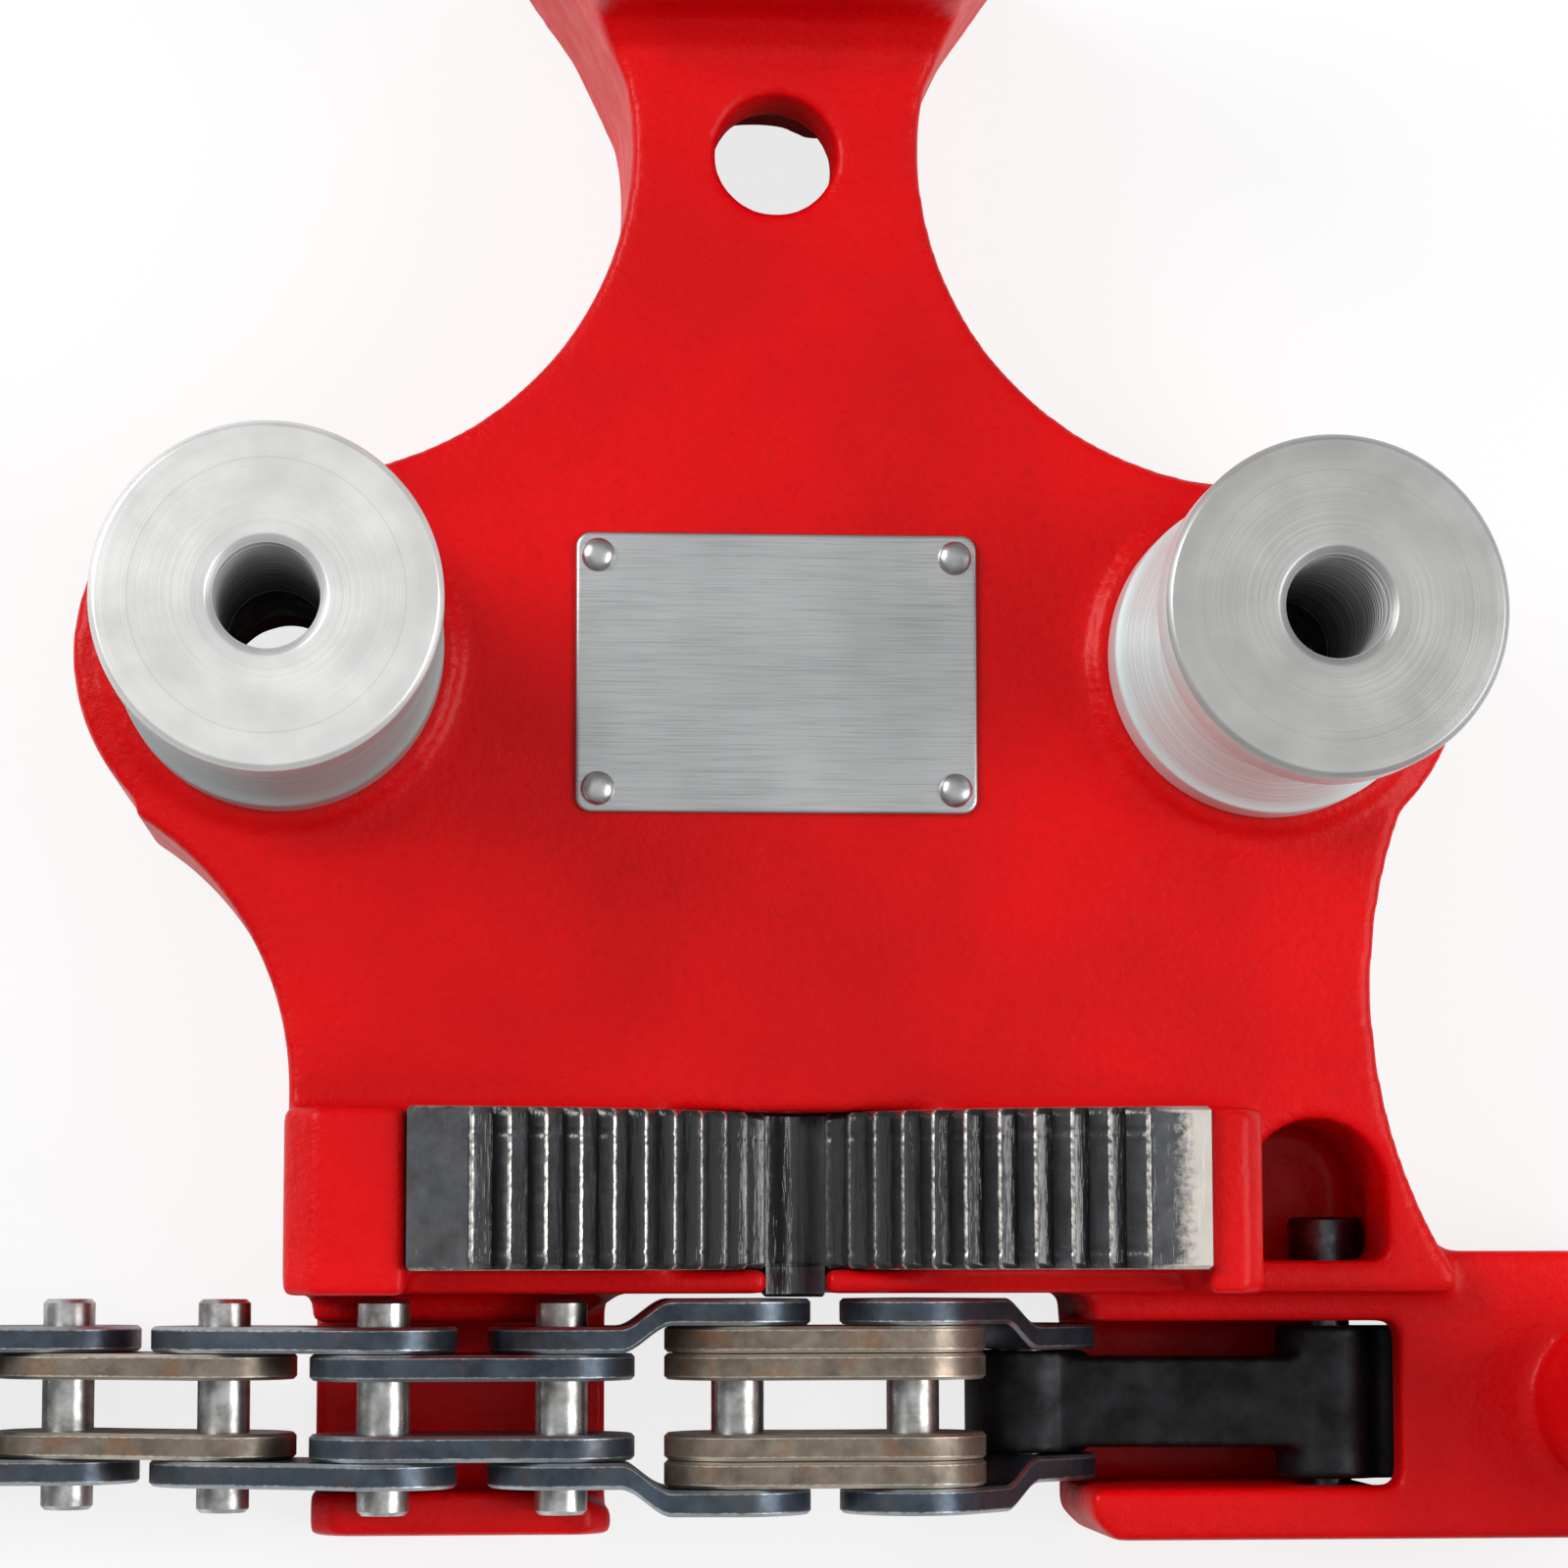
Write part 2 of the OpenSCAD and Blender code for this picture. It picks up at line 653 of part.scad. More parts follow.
module lever_bush() {
  color([0.70, 0.52, 0.25]) difference() {
    cyl_y(pivot_x, pivot_z, bush_r, chain_y - slot_half + 1, chain_y + slot_half - 1);
    cyl_y(pivot_x, pivot_z, lever_pin_r + run_fit, chain_y - slot_half, chain_y + slot_half);
  }
}

module lever_pin() {
  color(dark_steel) difference() {
    union() {
      cyl_y(pivot_x, pivot_z, lever_head_r, pocket_front_y, pocket_front_y + lever_head_h);
      cyl_y(pivot_x, pivot_z, lever_pin_r, arm_front_y + 0.5, pocket_front_y + past);
    }
    translate([pivot_x, pocket_front_y + lever_head_h + past, pivot_z]) rotate([90, 0, 0])
      cylinder(r = 3.5, h = 5, $fn = 6);
  }
}

module lever_chain_pin() {
  color(steel) cyl_y(chain_start[0], chain_start[1], chain_pin_r,
    chain_y - level_2 - plate_t, chain_y + level_2 + plate_t);
}

// ---------- chain screw, nut and crank ----------

module trunnion_nut() {
  color(steel) translate([screw_x, chain_y, pivot_z]) difference() {
    union() {
      translate([-10, -nut_half, -nut_h / 2]) cube([20, 2 * nut_half, nut_h]);
      cyl_y(0, 0, trunnion_r, -fork_out, fork_out);
    }
    translate([0, 0, -nut_h]) cylinder(r = screw_r + run_fit, h = 2 * nut_h);
  }
}

module chain_screw() {
  low = pivot_z - nut_travel - nut_h / 2 + 0.5;
  color(steel) translate([screw_x, chain_y, 0]) difference() {
    union() {
      translate([0, 0, low]) cylinder(r1 = screw_r - 1.5, r2 = screw_r, h = 1.5);
      translate([0, 0, low + 1.5]) cylinder(r = screw_r, h = crank_z + crank_hub_h + 1 - low - 1.5);
      translate([0, 0, arm_boss_z + washer_t + 0.1]) cylinder(r = collar_r, h = collar_t - 0.1);
    }
    translate([0, 0, groove_z]) difference() {
      cylinder(r = screw_r + past, h = groove_h);
      translate([0, 0, -past]) cylinder(r = groove_r, h = groove_h + 2 * past);
    }
    rotate([0, 0, crank_turn]) cyl_y(0, crank_z + crank_hub_h - 5, roll_pin_r, -crank_hub_r, crank_hub_r);
  }
}

module screw_clip() {
  color(black) translate([screw_x, chain_y, groove_z + 0.1]) difference() {
    cylinder(r = screw_r + clip_w, h = groove_h - 0.2);
    translate([0, 0, -past]) cylinder(r = groove_r + run_fit, h = groove_h + 2 * past);
    translate([-clip_w, 0, -past]) cube([2 * clip_w, screw_r + clip_w + past, groove_h + 2 * past]);
  }
}

module thrust_washer() {
  color(steel) translate([screw_x, chain_y, arm_boss_z]) difference() {
    cylinder(r = washer_r, h = washer_t);
    translate([0, 0, -past]) cylinder(r = screw_r + loose, h = washer_t + 2 * past);
  }
}

module crank_frame() {
  translate([screw_x, chain_y, crank_z]) rotate([0, 0, crank_turn]) children();
}

module crank_arm() {
  color(black) crank_frame() difference() {
    union() {
      cylinder(r = crank_hub_r, h = crank_hub_h);
      translate([0, -crank_w / 2, crank_low]) cube([crank_len, crank_w, crank_t]);
      translate([crank_len, 0, crank_low]) cylinder(r = crank_end_r, h = crank_t);
    }
    translate([0, 0, -past]) cylinder(r = screw_r + run_fit, h = crank_hub_h + 2 * past);
    cyl_y(0, crank_hub_h - 5, roll_pin_r + run_fit, -crank_hub_r - past, crank_hub_r + past);
    translate([crank_len, 0, -past]) cylinder(r = spindle_r + run_fit, h = crank_hub_h + past);
  }
}

module crank_roll_pin() {
  color(steel) crank_frame() cyl_y(0, crank_hub_h - 5, roll_pin_r - run_fit, -crank_hub_r - 0.5, crank_hub_r + 0.5);
}

module grip_spindle() {
  color(steel) crank_frame() translate([crank_len, 0, 0]) {
    translate([0, 0, crank_low - 2]) cylinder(r = spindle_head_r, h = 2);
    translate([0, 0, crank_low]) cylinder(r = spindle_r, h = crank_t + 2 + grip_h + 1);
    translate([0, 0, crank_low + crank_t + 2 + grip_h + 0.6]) cylinder(r = spindle_head_r, h = 3);
  }
}

module crank_grip() {
  color(black) crank_frame() translate([crank_len, 0, crank_low + crank_t + 1.5]) rotate_extrude() polygon([
    [spindle_r + run_fit, 0], [10, 0], [11, 2], [12.5, 12], [13.5, 30], [13, 48], [11.5, 62],
    [10, grip_h - 1.5], [8.5, grip_h], [spindle_r + run_fit, grip_h]
  ]);
}

base_casting();
base_arm();
base_horns();
vise_jaw();
jaw_screws();
roller_left();
roller_right();
roller_spigots();
nameplate();
nameplate_rivets();
tension_lever();
lever_bush();
lever_pin();
lever_chain_pin();
trunnion_nut();
chain_screw();
screw_clip();
thrust_washer();
crank_arm();
crank_roll_pin();
grip_spindle();
crank_grip();
chain_link(1);  // chain_link_01
chain_link(2);  // chain_link_02
chain_link(3);  // chain_link_03
chain_link(4);  // chain_link_04
chain_link(5);  // chain_link_05
chain_link(6);  // chain_link_06
chain_link(7);  // chain_link_07
chain_link(8);  // chain_link_08
chain_link(9);  // chain_link_09
chain_link(10);  // chain_link_10
chain_link(11);  // chain_link_11
chain_link(12);  // chain_link_12
chain_link(13);  // chain_link_13
chain_link(14);  // chain_link_14
chain_pin(1);  // chain_pin_01
chain_pin(2);  // chain_pin_02
chain_pin(3);  // chain_pin_03
chain_pin(4);  // chain_pin_04
chain_pin(5);  // chain_pin_05
chain_pin(6);  // chain_pin_06
chain_pin(7);  // chain_pin_07
chain_pin(8);  // chain_pin_08
chain_pin(9);  // chain_pin_09
chain_pin(10);  // chain_pin_10
chain_pin(11);  // chain_pin_11
chain_pin(12);  // chain_pin_12
chain_pin(13);  // chain_pin_13
chain_pin(14);  // chain_pin_14
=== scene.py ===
# %% [markdown]
# # Dressing a chain pipe vise
# The vise is a red iron casting with a toothed steel jaw, two turned rollers, a tension lever, a screw with a
# crank and a chain of fourteen links. The CAD model already gives every place and every joint, so this script
# only builds what the eye wants: cast corners, turning marks, worn teeth, bevelled plates and their finishes.
# Sizes are written in millimetres and become metres when a mesh is made.

# %% The fixed frame and the CAD box
import json
import math
import random
import bmesh
import bpy
from mathutils import Matrix, Vector

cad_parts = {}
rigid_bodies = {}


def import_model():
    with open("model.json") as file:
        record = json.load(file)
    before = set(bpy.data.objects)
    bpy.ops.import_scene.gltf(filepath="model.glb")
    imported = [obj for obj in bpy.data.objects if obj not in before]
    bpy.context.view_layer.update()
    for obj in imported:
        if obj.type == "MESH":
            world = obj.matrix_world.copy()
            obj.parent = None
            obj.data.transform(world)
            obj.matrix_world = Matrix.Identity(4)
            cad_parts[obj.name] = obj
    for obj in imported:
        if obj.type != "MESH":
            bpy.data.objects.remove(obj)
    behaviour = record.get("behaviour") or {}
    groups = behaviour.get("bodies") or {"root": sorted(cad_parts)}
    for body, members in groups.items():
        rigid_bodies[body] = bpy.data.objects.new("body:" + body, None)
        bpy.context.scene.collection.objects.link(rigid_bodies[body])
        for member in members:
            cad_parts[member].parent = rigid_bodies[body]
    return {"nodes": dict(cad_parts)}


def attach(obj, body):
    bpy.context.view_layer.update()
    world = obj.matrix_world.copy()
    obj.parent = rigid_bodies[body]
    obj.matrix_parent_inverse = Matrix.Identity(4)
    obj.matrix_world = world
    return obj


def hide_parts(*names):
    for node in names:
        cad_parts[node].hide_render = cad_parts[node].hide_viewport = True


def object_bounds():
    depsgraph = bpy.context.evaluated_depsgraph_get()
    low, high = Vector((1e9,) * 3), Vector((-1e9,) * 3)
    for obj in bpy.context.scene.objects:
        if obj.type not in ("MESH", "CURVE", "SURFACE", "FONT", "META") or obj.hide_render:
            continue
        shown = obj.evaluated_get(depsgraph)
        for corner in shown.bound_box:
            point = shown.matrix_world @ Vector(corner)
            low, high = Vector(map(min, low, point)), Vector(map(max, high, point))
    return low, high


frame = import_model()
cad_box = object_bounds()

MM = 0.001
print("CAD box in mm:", [round(v / MM, 1) for corner in cad_box for v in corner])

# %% [markdown]
# ## Camera
# The view looks down on the vise from almost straight above through a long lens, so the rollers show their
# tops and a little of their sides. A camera can be aimed with a Track To constraint, but a matrix made from
# its own right, up and look directions also fixes the small roll of the view. The focal length is given in
# pixels, as a calibration gives it.

# %% Camera
EYE = Vector((-0.056407, -0.102437, 0.784389))
LOOK = Vector((0.07776, 0.10863, -0.99104)).normalized()
RIGHT = Vector((0.99695, -0.00173, 0.07804))
RIGHT = (RIGHT - RIGHT.dot(LOOK) * LOOK).normalized()
UP = RIGHT.cross(LOOK)
SENSOR_MM, FOCAL_PIXELS, FRAME_PIXELS = 36, 4447.92, 1600
camera_data = bpy.data.cameras.new("overhead_camera")
camera_data.sensor_width = SENSOR_MM
camera_data.lens = SENSOR_MM * FOCAL_PIXELS / FRAME_PIXELS
camera_data.clip_start = 0.02
camera = bpy.data.objects.new("overhead_camera", camera_data)
bpy.context.scene.collection.objects.link(camera)
turn = Matrix((RIGHT, UP, -LOOK)).transposed().to_4x4()
camera.matrix_world = Matrix.Translation(EYE) @ turn
bpy.context.scene.camera = camera
bpy.context.scene.view_settings.view_transform = "Standard"
print("lens", round(camera_data.lens, 2), "mm")

# %% [markdown]
# ## One colour function and one node function
# Colours are written as the hex codes a painter would read off a card. Shaders work in linear light, so
# every code goes through the same conversion. Every node of every material and rule is added by one small
# function. It takes the node's settings and a table of its inputs: a number sets an input, and an output or a
# whole node is linked to it. Blender could also copy such trees from a library file, but written out here
# each one can be read and changed.

# %% Colours and nodes
def tint(code):
    """A hex code such as D01014, as linear red, green, blue and alpha."""
    parts = [int(code[i:i + 2], 16) / 255 for i in (0, 2, 4)]
    return tuple(p / 12.92 if p <= 0.04045 else ((p + 0.055) / 1.055) ** 2.4 for p in parts) + (1.0,)


def plug(tree, node, sockets):
    """Fills inputs, named or numbered, with values or links; a whole node stands for its first output."""
    for key, value in sockets.items():
        if isinstance(value, bpy.types.Node):
            value = value.outputs[0]
        if isinstance(value, bpy.types.NodeSocket):
            tree.links.new(value, node.inputs[key])
        else:
            node.inputs[key].default_value = value


def add(tree, kind, sockets=None, **settings):
    """Adds a node with its settings, values and links."""
    node = tree.nodes.new(kind)
    for key, value in settings.items():
        setattr(node, key, value)
    plug(tree, node, sockets or {})
    return node


print("tint of mid grey:", [round(v, 3) for v in tint("808080")])

# %% [markdown]
# ## Starting a finish
# Every finish starts alike: a Principled shader with its plain values, and the Object coordinates that its
# patterns read. A UV map would do as well on a flat plate, but these coordinates need no unwrapping and
# have no seams. They are metres here, so a noise of scale 1000 / s has grains about s millimetres across.
# That way each pattern's size is a real one: sand, orange peel, tool marks or brush strokes.

# %% Start of a finish
def finish(name, constants):
    """A material, its tree, its shader with the constants set, and the Object coordinates."""
    material = bpy.data.materials.new(name)
    material.use_nodes = True
    tree = material.node_tree
    shader = tree.nodes["Principled BSDF"]
    plug(tree, shader, constants)
    return material, tree, shader, add(tree, "ShaderNodeTexCoord").outputs["Object"]


def grains(size_mm):
    """The scale of a noise whose grains are about this size."""
    return 1 / (size_mm * MM)


print("scale for 4 mm grains:", round(grains(4)))

# %% [markdown]
# ## Red enamel on cast iron
# The casting is painted with one thick coat of red gloss enamel. The sand of the mould leaves a fine
# pebbled grain that the paint softens but doesn't fill, and the paint darkens a little in specks. The grain
# could be sculpted or come from an image, but noise covers every side of the casting alike. Three bumps,
# one over the other, give it: 30 mm waves, 4.5 mm orange peel and 1.4 mm sand. A thin coat over the rougher
# colour layer gives the wet shine.

# %% Enamel
def red_enamel():
    """Gloss enamel: to the eye a deep even red with soft waves, a fine pebble and broad dull highlights."""
    material, tree, shader, place = finish("red_enamel_on_cast_iron", {
        "IOR": 1.34, "Specular Tint": tint("FF9A96"), "Coat Weight": 0.14, "Coat Roughness": 0.18,
        "Coat IOR": 1.4})
    # paint has an IOR of about 1.5; a lower one and a red sheen keep the colour deep under the white lamps
    layer = {}
    for name, size_mm, detail, rough in (
            ("cloud", 42, 2, 0.5), ("speck", 1.5, 3, 0.6), ("gloss", 6, 3, 0.5), ("waves", 30, 2, 0.5),
            ("peel", 4.5, 2, 0.5), ("sand", 1.4, 3, 0.62), ("skin", 1.2, 2, 0.5)):
        layer[name] = add(tree, "ShaderNodeTexNoise", {
            "Vector": place, "Scale": grains(size_mm), "Detail": detail, "Roughness": rough})
    cloud = add(tree, "ShaderNodeMapRange", {"Value": layer["cloud"], "From Min": 0.35, "From Max": 0.65})
    red = add(tree, "ShaderNodeMix", {0: cloud, 6: tint("DA060C"), 7: tint("C60309")}, data_type="RGBA")
    speck = add(tree, "ShaderNodeMapRange", {
        "Value": layer["speck"], "From Min": 0.5, "From Max": 0.75, "To Max": 0.35})
    red = add(tree, "ShaderNodeMix", {0: speck, 6: red.outputs[2], 7: tint("B00308")}, data_type="RGBA")
    gloss = add(tree, "ShaderNodeMapRange", {
        "Value": layer["gloss"], "From Min": 0.3, "From Max": 0.7, "To Min": 0.34, "To Max": 0.5})
    waves = add(tree, "ShaderNodeBump", {"Height": layer["waves"], "Distance": 1.2 * MM, "Strength": 0.5})
    peel = add(tree, "ShaderNodeBump", {
        "Height": layer["peel"], "Distance": 0.4 * MM, "Strength": 0.5, "Normal": waves})
    sand = add(tree, "ShaderNodeBump", {
        "Height": layer["sand"], "Distance": 0.3 * MM, "Strength": 0.9, "Normal": peel})
    skin = add(tree, "ShaderNodeBump", {
        "Height": layer["skin"], "Distance": 0.12 * MM, "Strength": 0.6, "Normal": peel})
    plug(tree, shader, {
        "Base Color": red.outputs[2], "Roughness": gloss, "Normal": sand, "Coat Normal": skin})
    return material


enamel = red_enamel()
print("made", enamel.name)

# %% [markdown]
# ## Turned steel
# The rollers are faced and bored on a lathe, so every face carries fine rings about the roller's own axis.
# Cut into the mesh, such rings would need millions of faces, so the finish draws them: a noise in one
# dimension, read at the distance from the axis plus the height. On the top face that makes circles, and on
# the sides and in the bore it makes the close lines of the tool's feed. Real feed marks are about 0.1 mm
# apart; these are 0.22 and 0.9 mm, as coarse as they need to be to show. The wear number of the mesh is one
# in the bore, which is ridged as a drill leaves it and painted near white, a painted light that keeps the
# deep bore from reading dark. It is minus one on the waist, whose marks scatter the light more than the faces
# do and whose tints are painted light and shade, set apart for each roller.

# %% Turned steel: the rings
RING_SIZES_MM = (0.22, 0.9, 4.0)
# more than one, so that a chamfer at 45 degrees still crosses the rings
RISE_SHARE = 1.37


def turning_marks(tree, place, axis_x):
    """Fine, coarse and broad rings about the upright axis at axis_x."""
    from_axis = add(tree, "ShaderNodeVectorMath", {0: place, 1: (axis_x, 0, 0)}, operation="SUBTRACT")
    flat = add(tree, "ShaderNodeVectorMath", {0: from_axis, 1: (1, 1, 0)}, operation="MULTIPLY")
    radius = add(tree, "ShaderNodeVectorMath", {0: flat}, operation="LENGTH").outputs["Value"]
    height = add(tree, "ShaderNodeSeparateXYZ", {0: place}).outputs["Z"]
    along = add(tree, "ShaderNodeMath", {0: height, 1: RISE_SHARE, 2: radius}, operation="MULTIPLY_ADD")
    return [add(tree, "ShaderNodeTexNoise", {"W": along, "Scale": grains(size_mm), "Detail": 2.0},
                noise_dimensions="1D") for size_mm in RING_SIZES_MM]


print("rings of", RING_SIZES_MM, "mm")


# %% Turned steel: the finish
def turned_steel(name, axis_x, bright, dull, roughness, wall_tints_with_painted_light):
    """Lathe-turned steel: to the eye a silvery face with smears and thin rings that catch the light."""
    material, tree, shader, place = finish(name, {})
    fine, coarse, broad = turning_marks(tree, place, axis_x)
    smear = add(tree, "ShaderNodeTexNoise", {"Vector": place, "Scale": grains(9), "Detail": 3.0})
    worn = add(tree, "ShaderNodeMath", {0: broad, 1: 0.35, 2: smear}, operation="MULTIPLY_ADD")
    worn = add(tree, "ShaderNodeMapRange", {"Value": worn, "From Min": 0.45, "From Max": 0.95})
    face = add(tree, "ShaderNodeMix", {0: worn, 6: tint(dull), 7: tint(bright)}, data_type="RGBA")
    line = add(tree, "ShaderNodeMapRange", {
        "Value": coarse, "From Min": 0.66, "From Max": 0.8, "To Max": 0.25})
    face = add(tree, "ShaderNodeMix", {0: line, 6: face.outputs[2], 7: tint("8B8B8B")}, data_type="RGBA")

    zone = add(tree, "ShaderNodeAttribute", attribute_name="wear_and_painted_light").outputs["Fac"]
    # the bore is painted near white with grey drill ridges: painted light that keeps the deep bore from
    # reading dark
    ridge = add(tree, "ShaderNodeMapRange", {"Value": coarse, "From Min": 0.44, "From Max": 0.56})
    bore = add(tree, "ShaderNodeMix", {0: ridge, 6: tint("F0F0F0"), 7: tint("6A6A6A")}, data_type="RGBA")
    colour = add(tree, "ShaderNodeMix", {0: zone, 6: face.outputs[2], 7: bore.outputs[2]}, data_type="RGBA")
    on_wall = add(tree, "ShaderNodeMapRange", {"Value": zone, "From Min": 0, "From Max": -1})
    some = add(tree, "ShaderNodeMath", {0: coarse, 1: 0.3}, operation="MULTIPLY")
    marks = add(tree, "ShaderNodeMath", {0: fine, 1: 0.7, 2: some}, operation="MULTIPLY_ADD")
    marks = add(tree, "ShaderNodeMapRange", {"Value": marks, "From Min": 0.35, "From Max": 0.65})
    # painted light and shade: each roller's wall tints set how bright its waist reads; cyan cancels reflected
    # red
    wall = add(tree, "ShaderNodeMix", {
        0: marks, 6: tint(wall_tints_with_painted_light[0]), 7: tint(wall_tints_with_painted_light[1])}, data_type="RGBA")
    colour = add(tree, "ShaderNodeMix", {
        0: on_wall, 6: colour.outputs[2], 7: wall.outputs[2]}, data_type="RGBA")

    ring_gloss = add(tree, "ShaderNodeMapRange", {
        "Value": fine, "From Min": 0.3, "From Max": 0.7, "To Min": -0.05, "To Max": 0.05})
    smear_gloss = add(tree, "ShaderNodeMapRange", {
        "Value": smear, "From Min": 0.3, "From Max": 0.7,
        "To Min": roughness - 0.05, "To Max": roughness + 0.07})
    rough = add(tree, "ShaderNodeMath", {0: ring_gloss, 1: smear_gloss}, operation="ADD")
    rough = add(tree, "ShaderNodeMath", {0: on_wall, 1: 0.04, 2: rough}, operation="MULTIPLY_ADD")
    # marks too fine to draw scatter the light as a matt skin does, so the steel is only partly metallic
    metal = add(tree, "ShaderNodeMapRange", {"Value": zone, "To Min": 0.62, "To Max": 0.1})
    metal = add(tree, "ShaderNodeMath", {0: on_wall, 1: -0.32, 2: metal}, operation="MULTIPLY_ADD")
    grooves = add(tree, "ShaderNodeBump", {"Height": coarse, "Distance": 0.06 * MM, "Strength": 0.8})
    grooves = add(tree, "ShaderNodeBump", {
        "Height": fine, "Distance": 0.02 * MM, "Strength": 0.7, "Normal": grooves})
    plug(tree, shader, {
        "Base Color": colour.outputs[2], "Roughness": rough, "Metallic": metal, "Normal": grooves})
    return material


ROLLER_X = 84.0
# one steel, with painted light and shade: the left roller's faces are painted lighter and its walls greyer
# the right roller's walls are painted bright, with a cyan tint that cancels the red they reflect
roller_steels = {
    "left": turned_steel("turned_steel_light", -ROLLER_X * MM, "E4E4E3", "D4D4D3", 0.42,
                         ("A9AFAF", "939898")),
    "right": turned_steel("turned_steel_dark", ROLLER_X * MM, "B6B6B5", "A8A8A7", 0.4,
                          ("E6F4F4", "C4D2D2")),
}
print("made", [m.name for m in roller_steels.values()])

# %% [markdown]
# ## Brushed plate and bright fasteners
# The nameplate is thin aluminium, brushed along its length, with a few faint dents. An anisotropic shader
# would stretch its highlights, but the strokes themselves wouldn't show, so they are a noise squeezed sixty
# times across the brushing. Real strokes are under 0.1 mm wide, and these are about 0.3 mm so that they
# show. Rivets, pins and screws share a plainer metal whose only marks are smudges and fine pits.

# %% Brushed plate
def brushed_plate():
    """Brushed aluminium: to the eye a soft silver sheen with fine dark strokes along the plate."""
    material, tree, shader, place = finish("brushed_aluminium", {"Metallic": 1.0})
    squeezed = add(tree, "ShaderNodeVectorMath", {0: place, 1: (1, 60, 1)}, operation="MULTIPLY")
    strokes = add(tree, "ShaderNodeTexNoise", {
        "Vector": squeezed, "Scale": grains(16), "Detail": 5, "Roughness": 0.65})
    smudge = add(tree, "ShaderNodeTexNoise", {"Vector": place, "Scale": grains(22), "Detail": 2})
    smudge = add(tree, "ShaderNodeMapRange", {"Value": smudge, "From Min": 0.3, "From Max": 0.7})
    silver = add(tree, "ShaderNodeMix", {0: smudge, 6: tint("C6C7C8"), 7: tint("B4B6B7")}, data_type="RGBA")
    dark = add(tree, "ShaderNodeMapRange", {
        "Value": strokes, "From Min": 0.48, "From Max": 0.7, "To Max": 0.55})
    silver = add(tree, "ShaderNodeMix", {0: dark, 6: silver.outputs[2], 7: tint("85888B")}, data_type="RGBA")
    rough = add(tree, "ShaderNodeMapRange", {
        "Value": strokes, "From Min": 0.3, "From Max": 0.7, "To Min": 0.36, "To Max": 0.5})
    dents = add(tree, "ShaderNodeTexNoise", {"Vector": place, "Scale": grains(18), "Detail": 1})
    dents = add(tree, "ShaderNodeBump", {"Height": dents, "Distance": 0.4 * MM, "Strength": 0.2})
    scratch = add(tree, "ShaderNodeBump", {
        "Height": strokes, "Distance": 0.03 * MM, "Strength": 0.6, "Normal": dents})
    plug(tree, shader, {"Base Color": silver.outputs[2], "Roughness": rough, "Normal": scratch})
    return material


plate_metal = brushed_plate()
print("made", plate_metal.name)


# %% Plain metals
def plain_metal(name, bright, dull, roughness, spot_mm=5, pit_mm=0.02, metallic=1.0):
    """A metal with smudges of spot_mm and a pitted skin; real pits are finer than the 0.8 mm drawn here."""
    material, tree, shader, place = finish(name, {"Metallic": metallic})
    smudge = add(tree, "ShaderNodeTexNoise", {
        "Vector": place, "Scale": grains(spot_mm), "Detail": 4, "Roughness": 0.6})
    patch = add(tree, "ShaderNodeMapRange", {"Value": smudge, "From Min": 0.35, "From Max": 0.65})
    colour = add(tree, "ShaderNodeMix", {0: patch, 6: tint(bright), 7: tint(dull)}, data_type="RGBA")
    rough = add(tree, "ShaderNodeMapRange", {
        "Value": smudge, "From Min": 0.3, "From Max": 0.7,
        "To Min": roughness - 0.06, "To Max": roughness + 0.1})
    pits = add(tree, "ShaderNodeTexNoise", {"Vector": place, "Scale": grains(0.8), "Detail": 3})
    pits = add(tree, "ShaderNodeBump", {"Height": pits, "Distance": pit_mm * MM, "Strength": 0.6})
    plug(tree, shader, {"Base Color": colour.outputs[2], "Roughness": rough, "Normal": pits})
    return material


# soft aluminium, headed cold: small bright domes with a sharp glint
rivet_metal = plain_metal("rivet_aluminium", "CBCDCE", "A9ACAE", 0.3)
# drawn bar: bright, with dull brownish handling marks
pin_metal = plain_metal("drawn_pin_steel", "C9CACA", "8E8C88", 0.3, 4)
# rolled thread: a little darker than drawn bar
screw_metal = plain_metal("rolled_screw_steel", "B9BBBC", "86888A", 0.3, 6)
# black oxide: dark grey with a clear narrow highlight
socket_metal = plain_metal("black_oxide_screw", "5A5D61", "35383C", 0.3, 3)
# bronze: warm brown-gold, dulled by grease
bush_metal = plain_metal("bronze_bush", "B98B4E", "8C6434", 0.38, 4)
# forging scale under black paint: nearly black, uneven, with broad weak highlights
forged_metal = plain_metal("forged_black_steel", "2B2C2F", "17181A", 0.42, 7, 0.06, 0.8)
plain_metals = (rivet_metal, pin_metal, screw_metal, socket_metal, bush_metal, forged_metal)
print("made", [metal.name for metal in plain_metals])
